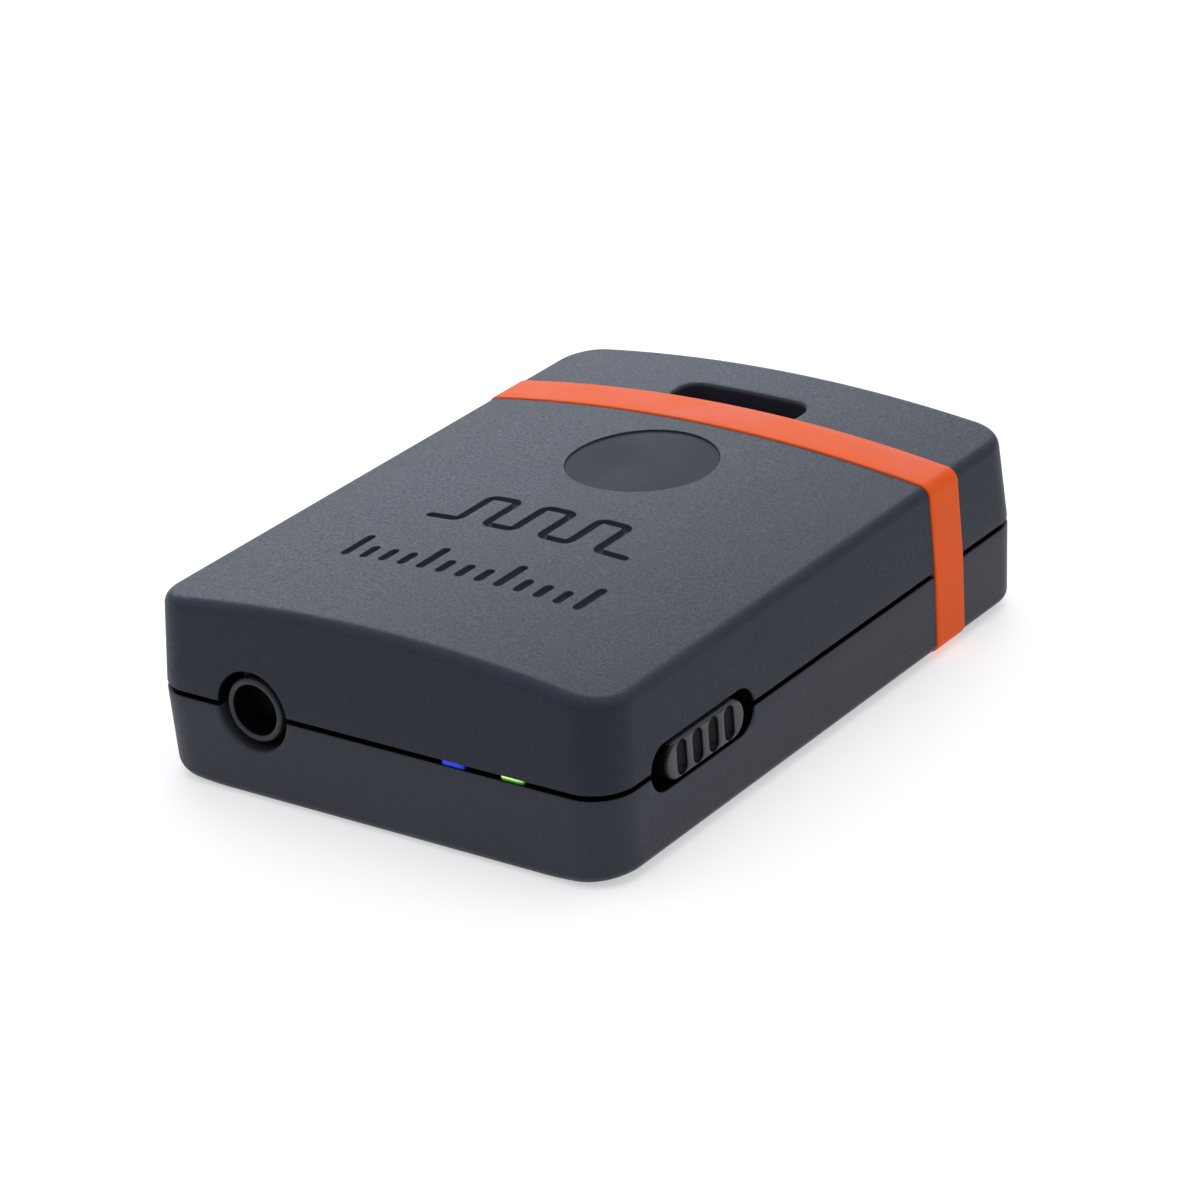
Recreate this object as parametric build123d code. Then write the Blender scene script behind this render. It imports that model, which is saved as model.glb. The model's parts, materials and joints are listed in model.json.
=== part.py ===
from build123d import *
import math
import os

# Pocket timecode generator: a two-shell moulded box with an audio jack, a sprung slide switch,
# two status lights in the parting line and an elastic identity band. Millimetres, +Z up.
# The origin is the middle of the underside; -Y is the front (jack) and +X the switch side.

# ---- case ----
WIDTH = 38.0
LENGTH = 51.0
PART_Z = 6.55                 # height of the parting plane between the two shells
EDGE_Z = 12.9                 # height of the top at its long edges
CROWN = 1.49                  # rise of the top from its long edges to its middle
DRAFT_SIDE = 2.0              # wall draft of the upper shell's long sides, degrees
DRAFT_END = 4.4               # wall draft of the upper shell's front and rear
DRAFT_LOWER_SIDE = 1.0
DRAFT_LOWER_END = 0.1
CORNER_R = 3.0                # vertical corners at the parting plane
CORNER_R_BOTTOM = 3.4
TOP_EDGE_R = 0.85
BOTTOM_EDGE_R = 0.8
BELLY_FLAT = 13.0             # half width of the flat part of the underside
BELLY_R = 26.8                # gentle curve from that flat up to the long sides
WALL = 1.6
FLOOR = 1.4
CEILING = 1.5

CROWN_R = ((WIDTH / 2) ** 2 + CROWN**2) / (2 * CROWN)
CROWN_CENTRE_Z = EDGE_Z + CROWN - CROWN_R

# ---- parting gap and lip ----
GAP_H = 0.4
GAP_DEPTH = 0.55
LIP_TOP = 7.4
LIP_ROOT = 5.4
LIP_T = 0.6
LIP_CLEAR = 0.15

# ---- identity band ----
BAND_Y = (13.57, 17.23)
BAND_PROUD = 0.1
BAND_DEPTH = 0.8
BAND_CLEAR = 0.02
BAND_LOWEST = 0.06

# ---- lanyard slot ----
SLOT_HALF_X = 5.3
SLOT_Y = (16.6, 19.9)
SLOT_R = 1.3
SLOT_WALL = 1.0

# ---- case screws ----
SCREW_POINTS = [(-14.8, -22.0), (14.8, -22.0), (-14.8, 21.6), (14.8, 21.6)]
BOSS_R = 1.6
SCREW_R = 0.8
SCREW_HEAD_R = 1.35
SCREW_HEAD_Z = (0.3, 1.2)
SCREW_TIP_Z = 10.6

# ---- audio jack ----
JACK_X = -10.1
JACK_BORE_R = 1.8
JACK_BORE_DEPTH = 14.5
JACK_MOUTH = 0.2              # chamfer at the bore's mouth
JACK_NOSE_R = 2.3
JACK_NOSE_EDGE = 0.2
JACK_NOSE_Y = -25.2
JACK_BODY_X = (JACK_X - 3.0, JACK_X + 3.0)
JACK_BODY_Y = (-23.4, -10.2)
JACK_BODY_Z = (3.95, 9.15)
JACK_RECESS_R = 3.1
JACK_HOLE_R = 2.45
JACK_RECESS_DEPTH = 0.75
CONTACT_LENGTH = 2.0
CONTACT_T = 0.25
CONTACTS = {                  # side of the bore and place along it
    "jack_sleeve_contact": (1, -21.0),
    "jack_ring_contact": (-1, -16.6),
    "jack_tip_contact": (1, -13.2),
}

# ---- circuit board ----
BOARD_Z = (3.1, 3.9)
BOARD_HALF_X = 16.4
BOARD_Y = (-23.4, 15.2)
SOLDER = 0.02                 # paste height under the chip parts

# ---- status lights ----
LIGHT_X = {"blue": 6.55, "green": 11.3}
PIPE_HALF_X = 0.9
PIPE_H = 0.38
PIPE_FACE_Y = -25.35
PIPE_Y = (-23.1, -22.1)
LED_SIZE = (1.6, 0.8, 0.65)

# ---- slide switch ----
TRAVEL = 1.0
KNOB_Y = -14.8                # middle of the knob at rest; it slides rearward
KNOB_LENGTH = 9.0
KNOB_H = 2.75
KNOB_FACE_X = 19.1
GROOVES = 4                     # finger grooves across the knob's face
GROOVE_PITCH = 1.81
GROOVE_LENGTH = 2.4
GROOVE_W = 1.1
GROOVE_DEPTH = 0.5
OPENING_Y = -14.9
OPENING_LENGTH = 11.85
OPENING_H = 3.4
OPENING_FLARE = 0.1
FLANGE_X = (16.65, 17.15)
FLANGE_Y = (-22.0, -8.6)
FLANGE_HALF_Z = 1.9
SWITCH_X = (12.0, 16.4)
SWITCH_Y = (-18.9, -10.3)
SWITCH_Z = (3.95, 8.6)
CHAMBER_X = (13.3, 15.9)
CHAMBER_Y = (-17.45, -10.95)
CHAMBER_HALF_Z = 1.1
SLIDER_Y = (-17.2, -13.4)
STEM_Y = (-16.1, -14.1)
STEM_HALF_Z = 0.7
STEM_TIP_X = 18.0
STEM_CLEAR = 0.03
TERMINAL_PITCH = 2.5
SPRING_R = 0.7
SPRING_WIRE_R = 0.09
SPRING_TURNS = 4

# ---- charging socket ----
USB_Y = -3.0
USB_HALF_Y = 3.75
USB_X = (-18.3, -13.2)
USB_Z = (3.95, 6.4)
USB_SHEET = 0.3
USB_CLEAR = 0.2

# ---- battery ----
CELL_HALF_X = 15.5
CELL_Y = (-9.4, 14.4)
CELL_Z = (6.6, 11.0)
PAD_HALF_X = 13.6
PAD_Y = (-8.0, 13.0)
PAD_T = 0.6
CELL_RIBS_Y = (-2.5, 8.0)
SOCKET_X = (-3.4, 1.4)
SOCKET_Y = (-19.6, -15.6)
SOCKET_H = 3.1
LEAD_R = 0.4
LEAD_X = {"red": -0.3, "black": -1.7}
LEAD_LOW_Z = 5.5
LEAD_HIGH_Z = 8.6

# ---- emblem: a shallow polished disc, a pulse train and a time scale, all engraved ----
DISC_Y = 6.3
DISC_R = 5.42
DISC_DEPTH = 0.12
MARK_DEPTH = 0.3
MARK_W = 0.62
PULSE_Y = (-7.4, -3.4)
PULSE_STEP = 2.3
PULSE_EDGES = 6
SCALE_Y = -15.2
SCALE_PITCH = 1.6
SCALE_TICKS = 13
LONG_TICK = 3.4
SHORT_TICK = 1.9


def span(x_range, y_range, z_range):
    """A box between two corners, given as three ranges."""
    ranges = (x_range, y_range, z_range)
    size = [high - low for low, high in ranges]
    middle = [(high + low) / 2 for low, high in ranges]
    return Pos(*middle) * Box(*size)


def rod_y(x, z, radius, y_front, y_rear):
    """A round bar along Y."""
    bar = Cylinder(radius, y_rear - y_front, rotation=(90, 0, 0))
    return Pos(x, (y_front + y_rear) / 2, z) * bar


def post(x, y, radius, z_low, z_high):
    """A round bar along Z."""
    return Pos(x, y, (z_low + z_high) / 2) * Cylinder(radius, z_high - z_low)


def swept_along_y(profile, y_front, y_rear):
    """An X-Z outline drawn out along Y."""
    return extrude(Plane.XZ.offset(-y_rear) * profile, y_rear - y_front)


def half_extents(z):
    """Half width and half length of the case at height z, draft included."""
    side = DRAFT_SIDE if z > PART_Z else DRAFT_LOWER_SIDE
    end = DRAFT_END if z > PART_Z else DRAFT_LOWER_END
    rise = abs(z - PART_Z)
    half_x = WIDTH / 2 - rise * math.tan(math.radians(side))
    half_y = LENGTH / 2 - rise * math.tan(math.radians(end))
    return half_x, half_y


def outline(z, corner, inset):
    """Rounded rectangle of the case at height z, drawn in by inset."""
    half_x, half_y = half_extents(z)
    radius = max(corner - inset, 0.8)
    shape = RectangleRounded(2 * (half_x - inset), 2 * (half_y - inset), radius)
    return Plane.XY.offset(z) * shape


def drafted_block(z_low, z_high, corner_low, corner_high, inset):
    """Solid between two outlines of the case."""
    sections = [outline(z_low, corner_low, inset), outline(z_high, corner_high, inset)]
    return loft(sections, ruled=True)


def crown_body(drop):
    """Everything under the crowned top, lowered by drop."""
    bar = Cylinder(CROWN_R - drop, 2 * LENGTH, rotation=(90, 0, 0))
    return Pos(0, 0, CROWN_CENTRE_Z) * bar


def upper_solid(inset, drop):
    """Upper half of the case with no hollow."""
    block = drafted_block(PART_Z, EDGE_Z + 2 * CROWN, CORNER_R, CORNER_R, inset)
    return block & crown_body(drop)


def lower_solid(inset, floor_z):
    """Lower half of the case with no hollow, above floor_z."""
    return drafted_block(floor_z, PART_Z, CORNER_R_BOTTOM, CORNER_R, inset)


def belly_height(x):
    """Height of the underside at a distance x from the middle, on its curved part."""
    reach = max(abs(x) - BELLY_FLAT, 0.0)
    return BELLY_R - math.sqrt(BELLY_R**2 - reach**2)


def belly_profile(half_x, top_z):
    """X-Z outline of the curved underside, out to half_x and up to top_z."""
    middle = (BELLY_FLAT + half_x) / 2
    bottom = Line((-BELLY_FLAT, 0), (BELLY_FLAT, 0))
    right = ThreePointArc(
        (BELLY_FLAT, 0), (middle, belly_height(middle)), (half_x, belly_height(half_x))
    )
    left = ThreePointArc(
        (-half_x, belly_height(half_x)), (-middle, belly_height(middle)), (-BELLY_FLAT, 0)
    )
    sides = Polyline(
        (half_x, belly_height(half_x)), (half_x, top_z), (-half_x, top_z),
        (-half_x, belly_height(half_x)),
    )
    return make_face([bottom, right, sides, left])


def section_corners(face, z_low, z_high):
    """Corners of the case section on its long sides, between two heights."""
    return [v for v in face.vertices() if abs(v.X) > WIDTH / 2 - 0.5 and z_low < v.Y < z_high]


def case_section():
    """X-Z section of the whole case away from its ends, edges rounded."""
    half_low, _ = half_extents(0)
    half_mid, _ = half_extents(PART_Z)
    half_top, _ = half_extents(EDGE_Z)
    edge_low = belly_height(half_low)
    edge_top = CROWN_CENTRE_Z + math.sqrt(CROWN_R**2 - half_top**2)
    middle = (BELLY_FLAT + half_low) / 2
    parts = [Line((-BELLY_FLAT, 0), (BELLY_FLAT, 0))]
    for side in (1, -1):
        start = (side * BELLY_FLAT, 0)
        end = (side * half_low, edge_low)
        parts.append(ThreePointArc(start, (side * middle, belly_height(middle)), end))
        parts.append(Line(end, (side * half_mid, PART_Z)))
        parts.append(Line((side * half_mid, PART_Z), (side * half_top, edge_top)))
    parts.append(ThreePointArc((half_top, edge_top), (0, EDGE_Z + CROWN), (-half_top, edge_top)))
    face = make_face(parts)
    face = fillet(section_corners(face, PART_Z + 1, EDGE_Z + CROWN), TOP_EDGE_R)
    return fillet(section_corners(face, -1, PART_Z - 1), BOTTOM_EDGE_R)


def band_ring(proud, depth, y_front, y_rear):
    """Closed ring round the case section, from depth inside it to proud outside it."""
    section = case_section()
    ring = offset(section, proud, kind=Kind.ARC) - offset(section, -depth, kind=Kind.ARC)
    return swept_along_y(ring, y_front, y_rear)


def gap_ring(z_low, z_high):
    """The outer strip of both walls that is left open as the parting gap."""
    slab = span((-WIDTH, WIDTH), (-LENGTH, LENGTH), (z_low, z_high))
    half_x = WIDTH / 2 - GAP_DEPTH
    half_y = LENGTH / 2 - GAP_DEPTH
    core = RectangleRounded(2 * half_x, 2 * half_y, CORNER_R - GAP_DEPTH)
    return slab - extrude(Plane.XY.offset(z_low - 1) * core, z_high - z_low + 2)


def slot_column(margin, z_low, z_high):
    """Upright column of the lanyard slot, widened by margin all round."""
    size_x = 2 * (SLOT_HALF_X + margin)
    size_y = SLOT_Y[1] - SLOT_Y[0] + 2 * margin
    middle = (SLOT_Y[0] + SLOT_Y[1]) / 2
    shape = Pos(0, middle) * RectangleRounded(size_x, size_y, SLOT_R + margin)
    return extrude(Plane.XY.offset(z_low) * shape, z_high - z_low)


def jack_opening():
    """Round hole for the jack's nose, its flared recess, and the parting gap carried through it."""
    front = -LENGTH / 2
    flare = Cone(JACK_HOLE_R, JACK_RECESS_R, JACK_RECESS_DEPTH, rotation=(90, 0, 0))
    hole = rod_y(JACK_X, PART_Z, JACK_HOLE_R, front - 1, front + WALL + 0.4)
    rim = rod_y(JACK_X, PART_Z, JACK_RECESS_R, front - 1, front)
    slit_x = (JACK_X - JACK_RECESS_R, JACK_X + JACK_RECESS_R)
    slit = span(slit_x, (front - 1, front + WALL + 0.4), (PART_Z - GAP_H / 2, PART_Z + GAP_H / 2))
    return hole + rim + slit + Pos(JACK_X, front + JACK_RECESS_DEPTH / 2, PART_Z) * flare


def slot_on_side(x, length, height):
    """Stadium outline standing on the right side at distance x, round the switch opening."""
    plane = Plane.YZ.offset(x)
    return plane * (Pos(OPENING_Y, PART_Z) * SlotOverall(length, height))


def switch_opening():
    """Stadium hole for the knob with its flared edge."""
    side = WIDTH / 2
    hole = extrude(slot_on_side(side - WALL - 0.6, OPENING_LENGTH, OPENING_H), WALL + 1)
    wide = OPENING_LENGTH + 2 * OPENING_FLARE
    tall = OPENING_H + 2 * OPENING_FLARE
    inner = slot_on_side(side - OPENING_FLARE, OPENING_LENGTH, OPENING_H)
    flare = loft([inner.face(), slot_on_side(side, wide, tall).face()], ruled=True)
    rim = extrude(slot_on_side(side, wide, tall), 1)
    return hole + flare + rim


def usb_opening():
    """Hole for the charging socket in the left side."""
    low = USB_Z[0] - USB_CLEAR
    high = PART_Z + GAP_H / 2
    shape = RectangleRounded(2 * (USB_HALF_Y + USB_CLEAR), 2 * (high - low), 0.9)
    plane = Plane.YZ.offset(-WIDTH / 2 - 1)
    prism = extrude(plane * (Pos(USB_Y, high) * shape), WALL + 2)
    return prism & span((-WIDTH, 0), (-LENGTH, LENGTH), (0, high))


def pipe_notches():
    """Notches in both walls where the light pipes pass through the parting plane."""
    half = PIPE_HALF_X + 0.05
    height = GAP_H / 2
    return [
        span((x - half, x + half), (-LENGTH, -21.9), (PART_Z - height, PART_Z + height))
        for x in LIGHT_X.values()
    ]


def case_openings():
    """Everything that is cut through both shells."""
    openings = [jack_opening(), switch_opening(), usb_opening()]
    openings.append(slot_column(0, -1, EDGE_Z + 3))
    groove_y = (BAND_Y[0] - BAND_CLEAR, BAND_Y[1] + BAND_CLEAR)
    openings.append(band_ring(2.0, BAND_DEPTH + BAND_CLEAR, *groove_y))
    return openings + pipe_notches()


def lip():
    """Locating lip of the lower shell, open where parts pass through it."""
    half_x = WIDTH / 2 - WALL
    half_y = LENGTH / 2 - WALL
    radius = CORNER_R - WALL
    step = LIP_CLEAR + LIP_T
    inner = RectangleRounded(2 * (half_x - step), 2 * (half_y - step), radius - LIP_CLEAR)
    root = RectangleRounded(2 * half_x + 0.2, 2 * half_y + 0.2, radius) - inner
    edge = RectangleRounded(2 * (half_x - LIP_CLEAR), 2 * (half_y - LIP_CLEAR), radius) - inner
    ring = extrude(Plane.XY.offset(LIP_ROOT) * root, PART_Z - LIP_ROOT)
    ring += extrude(Plane.XY.offset(PART_Z) * edge, LIP_TOP - PART_Z)
    z_range = (LIP_ROOT - 1, LIP_TOP + 1)
    front = (-LENGTH, -20)
    ring -= span((JACK_BODY_X[0] - 0.3, JACK_BODY_X[1] + 0.3), front, z_range)
    for x in LIGHT_X.values():
        ring -= span((x - 1.2, x + 1.2), front, z_range)
    ring -= span((half_x - 3, WIDTH), (FLANGE_Y[0] - 0.4, FLANGE_Y[1] + TRAVEL + 0.4), z_range)
    usb_reach = USB_HALF_Y + 0.5
    ring -= span((-WIDTH, 3 - half_x), (USB_Y - usb_reach, USB_Y + usb_reach), z_range)
    for x, y in SCREW_POINTS:
        ring -= post(x, y, BOSS_R + 0.3, PART_Z, LIP_TOP + 1)
    return ring


def make_bottom_cover():
    """Lower shell: walls, floor, lip, screw bosses, slot walls and board ledges."""
    belly = belly_profile(WIDTH / 2 + 1, PART_Z + 1)
    outer = lower_solid(0, 0) & swept_along_y(belly, -LENGTH, LENGTH)
    low_edges = [e for e in outer.edges() if e.center().Z < 1]
    rim = [e for e in low_edges if e.center().Z > 0.1 or abs(e.center().Y) > 1]
    shell = fillet(rim, BOTTOM_EDGE_R) - lower_solid(WALL, FLOOR)
    shell -= gap_ring(PART_Z - GAP_H / 2, PART_Z)
    shell += lip()
    shell += slot_column(SLOT_WALL, 0, PART_Z)
    for x in (-1, 1):
        for y in (-13.0, 10.0):
            ledge = span((15.4, 17.6), (y - 1.5, y + 1.5), (FLOOR - 0.2, BOARD_Z[0]))
            shell += ledge if x > 0 else mirror(ledge, Plane.YZ)
    for x, y in SCREW_POINTS:
        shell += post(x, y, BOSS_R, 0.6, PART_Z)
    for x, y in SCREW_POINTS:
        shell -= post(x, y, SCREW_HEAD_R + 0.15, -1, SCREW_HEAD_Z[1])
        shell -= post(x, y, SCREW_R + 0.1, 0, PART_Z + 1)
    for opening in case_openings():
        shell -= opening
    return shell


def emblem_marks():
    """Engraved strokes: a pulse train and a time scale, seen from above."""
    low, high = PULSE_Y
    reach = (PULSE_EDGES + 1) / 2 * PULSE_STEP
    points = [(-reach, low)]
    for i in range(PULSE_EDGES):
        x = (i - (PULSE_EDGES - 1) / 2) * PULSE_STEP
        levels = (low, high) if i % 2 == 0 else (high, low)
        points += [(x, level) for level in levels]
    points.append((reach, low))
    marks = [trace(Polyline(*points), MARK_W)]
    for i in range(SCALE_TICKS):
        length = LONG_TICK if i % 4 == 0 else SHORT_TICK
        x = (i - (SCALE_TICKS - 1) / 2) * SCALE_PITCH
        marks.append(Pos(x, SCALE_Y + length / 2) * SlotOverall(length, MARK_W, rotation=90))
    return marks


def make_top_cover():
    """Upper shell: crowned top, walls, bosses, slot walls, cell ribs and engraving."""
    outer = upper_solid(0, 0)
    outer = fillet(outer.faces().sort_by(Axis.Z)[-1].edges(), TOP_EDGE_R)
    disc = post(0, DISC_Y, DISC_R, EDGE_Z - 1, EDGE_Z + 3)
    outer -= disc - crown_body(DISC_DEPTH)
    for mark in emblem_marks():
        outer -= extrude(Plane.XY.offset(EDGE_Z - 1) * mark, 4) - crown_body(MARK_DEPTH)
    hollow = upper_solid(WALL, CEILING)
    shell = outer - hollow
    shell -= gap_ring(PART_Z, PART_Z + GAP_H / 2)
    inside = upper_solid(WALL - 0.3, CEILING - 0.3)
    shell += slot_column(SLOT_WALL, PART_Z, EDGE_Z + 2) & inside
    for y in CELL_RIBS_Y:
        rib_z = (CELL_Z[1] + PAD_T, EDGE_Z + 2)
        shell += span((-PAD_HALF_X, PAD_HALF_X), (y - 0.5, y + 0.5), rib_z) & inside
    for x, y in SCREW_POINTS:
        shell += post(x, y, BOSS_R, PART_Z, EDGE_Z + 2) & inside
    for x, y in SCREW_POINTS:
        shell -= post(x, y, SCREW_R + 0.01, PART_Z - 1, SCREW_TIP_Z + 0.3)
    for opening in case_openings():
        shell -= opening
    return shell


def make_id_band():
    """Elastic band in its groove, just clear of the surface the case stands on."""
    band = band_ring(BAND_PROUD, BAND_DEPTH, BAND_Y[0], BAND_Y[1])
    return band & span((-WIDTH, WIDTH), (0, LENGTH), (BAND_LOWEST, EDGE_Z + 3))


def make_case_screws():
    """Four self-tapping screws from below, heads sunk in the underside."""
    screws = []
    for x, y in SCREW_POINTS:
        head = post(x, y, SCREW_HEAD_R, SCREW_HEAD_Z[0], SCREW_HEAD_Z[1] - SOLDER)
        shank = post(x, y, SCREW_R, SCREW_HEAD_Z[0], SCREW_TIP_Z)
        cross = span((x - 0.8, x + 0.8), (y - 0.15, y + 0.15), (0, SCREW_HEAD_Z[0] + 0.45))
        cross += span((x - 0.15, x + 0.15), (y - 0.8, y + 0.8), (0, SCREW_HEAD_Z[0] + 0.45))
        screws.append(head + shank - cross)
    return Compound(screws)


def contact_shape(side, y, grow):
    """One spring of the jack: a leaf beside the bore, a web out of the body and a solder foot."""

    def out(near, far):
        low, high = sorted((JACK_X + side * near, JACK_X + side * far))
        return (low - grow, high + grow)

    y_range = (y - CONTACT_LENGTH / 2 - grow, y + CONTACT_LENGTH / 2 + grow)
    leaf_x = JACK_BORE_R + 0.04
    wall_x = JACK_BODY_X[1] - JACK_X
    web_z = PART_Z - 0.6
    leaf = span(out(leaf_x, leaf_x + CONTACT_T), y_range, (web_z - grow, PART_Z + 0.6 + grow))
    web = span(out(leaf_x, wall_x + CONTACT_T), y_range, (web_z - grow, web_z + CONTACT_T + grow))
    foot_z = BOARD_Z[1] + SOLDER
    leg = span(out(wall_x + 0.02, wall_x + CONTACT_T), y_range, (foot_z, web_z + CONTACT_T + grow))
    foot = span(out(wall_x + 0.02, wall_x + 1.0), y_range, (foot_z, foot_z + CONTACT_T))
    return leaf, web, leg, foot


def make_contact(name):
    """A contact spring as one solid."""
    side, y = CONTACTS[name]
    leaf, web, leg, foot = contact_shape(side, y, 0)
    return leaf + web + leg + foot


def make_audio_jack():
    """Moulded socket body with its round nose, blind bore and slots for the springs."""
    body = span(JACK_BODY_X, JACK_BODY_Y, JACK_BODY_Z)
    body = fillet(body.edges().filter_by(Axis.Y), 0.4)
    nose = rod_y(JACK_X, PART_Z, JACK_NOSE_R, JACK_NOSE_Y, JACK_BODY_Y[0] + 0.5)
    nose = fillet(nose.edges().sort_by(Axis.Y)[0], JACK_NOSE_EDGE)
    bore = rod_y(JACK_X, PART_Z, JACK_BORE_R, JACK_NOSE_Y - 1, JACK_NOSE_Y + JACK_BORE_DEPTH)
    socket = body + nose - bore
    circles = socket.edges().filter_by(GeomType.CIRCLE)
    front_circles = [e for e in circles if e.center().Y < JACK_NOSE_Y + 0.01]
    socket = chamfer(min(front_circles, key=lambda e: e.radius), JACK_MOUTH)
    for side, y in CONTACTS.values():
        leaf, web, _, _ = contact_shape(side, y, 0.03)
        socket -= leaf
        socket -= web
    return socket


def make_main_pcb():
    """Circuit board with notches round the front screw bosses."""
    board = span((-BOARD_HALF_X, BOARD_HALF_X), BOARD_Y, BOARD_Z)
    board = fillet(board.edges().filter_by(Axis.Z).sort_by(Axis.Y)[2:], 1.0)
    for x, y in SCREW_POINTS[:2]:
        outward = math.copysign(3.0, x)
        x_range = sorted((x - math.copysign(BOSS_R + 0.3, x), x + outward))
        board -= span(x_range, (y - 3.0, y + BOSS_R + 0.3), (BOARD_Z[0] - 1, BOARD_Z[1] + 1))
    return board


def make_light_pipe(colour):
    """Clear bar from above the light chip into the parting gap."""
    x = LIGHT_X[colour]
    x_range = (x - PIPE_HALF_X, x + PIPE_HALF_X)
    half = PIPE_H / 2
    bar = span(x_range, (PIPE_FACE_Y, PIPE_Y[1]), (PART_Z - half, PART_Z + half))
    leg = span(x_range, PIPE_Y, (BOARD_Z[1] + LED_SIZE[2] + 0.1, PART_Z + half))
    return bar + leg


def chip(x, y, size, edge=0.0):
    """A flat part standing on the board."""
    block = span(
        (x - size[0] / 2, x + size[0] / 2),
        (y - size[1] / 2, y + size[1] / 2),
        (BOARD_Z[1] + SOLDER, BOARD_Z[1] + SOLDER + size[2]),
    )
    if edge:
        block = fillet(block.edges().filter_by(Axis.Z), edge)
    return block


def make_led(colour):
    """Light chip: a ceramic base with its moulded lens on top."""
    x = LIGHT_X[colour]
    y = (PIPE_Y[0] + PIPE_Y[1]) / 2
    base = chip(x, y, (LED_SIZE[0], LED_SIZE[1], 0.3))
    lens = chip(x, y, (LED_SIZE[0] - 0.5, LED_SIZE[1] - 0.1, LED_SIZE[2]))
    return base + lens


def make_switch_body():
    """Switch housing with a chamber for the plunger and a slot for its stem."""
    body = span(SWITCH_X, SWITCH_Y, SWITCH_Z)
    body = fillet(body.edges().filter_by(Axis.Z), 0.4)
    body -= span(CHAMBER_X, CHAMBER_Y, (PART_Z - CHAMBER_HALF_Z, PART_Z + CHAMBER_HALF_Z))
    slot_y = (STEM_Y[0] - 0.2, STEM_Y[1] + TRAVEL + 0.2)
    slot_z = (PART_Z - STEM_HALF_Z - 0.15, PART_Z + STEM_HALF_Z + 0.15)
    body -= span((CHAMBER_X[1] - 0.1, SWITCH_X[1] + 1), slot_y, slot_z)
    return body


def make_switch_slider():
    """Plunger: a block in the chamber, the stem that drives it and a peg for the spring."""
    block_x = (CHAMBER_X[0] + 0.15, CHAMBER_X[1] - 0.15)
    block = span(block_x, SLIDER_Y, (PART_Z - 0.95, PART_Z + 0.95))
    stem_z = (PART_Z - STEM_HALF_Z, PART_Z + STEM_HALF_Z)
    stem = span((block_x[1] - 0.1, STEM_TIP_X), STEM_Y, stem_z)
    peg = rod_y(sum(CHAMBER_X) / 2, PART_Z, 0.45, SLIDER_Y[1] - 0.1, SLIDER_Y[1] + 0.6)
    return block + stem + peg


def make_switch_spring():
    """Compression spring between the plunger and the rear of the chamber."""
    end_gap = SPRING_WIRE_R + 0.03
    start = (sum(CHAMBER_X) / 2, SLIDER_Y[1] + end_gap, PART_Z)
    length = CHAMBER_Y[1] - end_gap - start[1]
    pitch = length / SPRING_TURNS
    coil = Helix(pitch, length, SPRING_R, center=start, direction=(0, 1, 0))
    wire = Plane(origin=coil @ 0, z_dir=coil % 0) * Circle(SPRING_WIRE_R)
    return sweep(wire, coil, is_frenet=True)


def make_switch_terminals():
    """Three solder legs on the inner side of the switch."""
    legs = []
    face_x = SWITCH_X[0] - SOLDER
    foot_z = BOARD_Z[1] + SOLDER
    for i in range(3):
        middle = sum(SWITCH_Y) / 2 + (i - 1) * TERMINAL_PITCH
        y_range = (middle - 0.3, middle + 0.3)
        foot = span((face_x - 0.9, face_x), y_range, (foot_z, foot_z + 0.2))
        leg = span((face_x - 0.2, face_x), y_range, (foot_z, foot_z + 1.4))
        legs.append(foot + leg)
    return Compound(legs)


def make_switch_knob():
    """Slide knob: a cover flange behind the wall and a stadium pad with four finger grooves."""
    flange = span(FLANGE_X, FLANGE_Y, (PART_Z - FLANGE_HALF_Z, PART_Z + FLANGE_HALF_Z))
    flange = fillet(flange.edges().filter_by(Axis.X), 1.0)
    root_x = FLANGE_X[0] + 0.2
    pad_shape = Pos(KNOB_Y, PART_Z) * SlotOverall(KNOB_LENGTH, KNOB_H)
    pad = extrude(Plane.YZ.offset(root_x) * pad_shape, KNOB_FACE_X - root_x)
    knob = flange + fillet(pad.faces().sort_by(Axis.X)[-1].edges(), 0.3)
    for i in range(GROOVES):
        y = KNOB_Y + (i - (GROOVES - 1) / 2) * GROOVE_PITCH
        shape = Pos(y, PART_Z) * SlotOverall(GROOVE_LENGTH, GROOVE_W, rotation=90)
        groove = extrude(Plane.YZ.offset(KNOB_FACE_X - GROOVE_DEPTH) * shape, GROOVE_DEPTH + 1)
        knob -= fillet(groove.faces().sort_by(Axis.X)[0].edges(), 0.35)
    hole_y = (STEM_Y[0] - STEM_CLEAR, STEM_Y[1] + STEM_CLEAR)
    hole_half = STEM_HALF_Z + STEM_CLEAR
    hole_x = (FLANGE_X[0] - 1, STEM_TIP_X + 0.1)
    return knob - span(hole_x, hole_y, (PART_Z - hole_half, PART_Z + hole_half))


def make_usb_socket():
    """Folded steel shell of the charging socket, open to the left and at its back."""
    y_range = (USB_Y - USB_HALF_Y, USB_Y + USB_HALF_Y)
    shell = span(USB_X, y_range, USB_Z)
    shell = chamfer(shell.edges().filter_by(Axis.X).sort_by(Axis.Z)[:2], 0.8)
    inner_y = (y_range[0] + USB_SHEET, y_range[1] - USB_SHEET)
    inner_z = (USB_Z[0] + USB_SHEET, USB_Z[1] - USB_SHEET)
    hollow = span((USB_X[0] - 1, USB_X[1] + 1), inner_y, inner_z)
    return shell - chamfer(hollow.edges().filter_by(Axis.X).sort_by(Axis.Z)[:2], 0.65)


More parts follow.
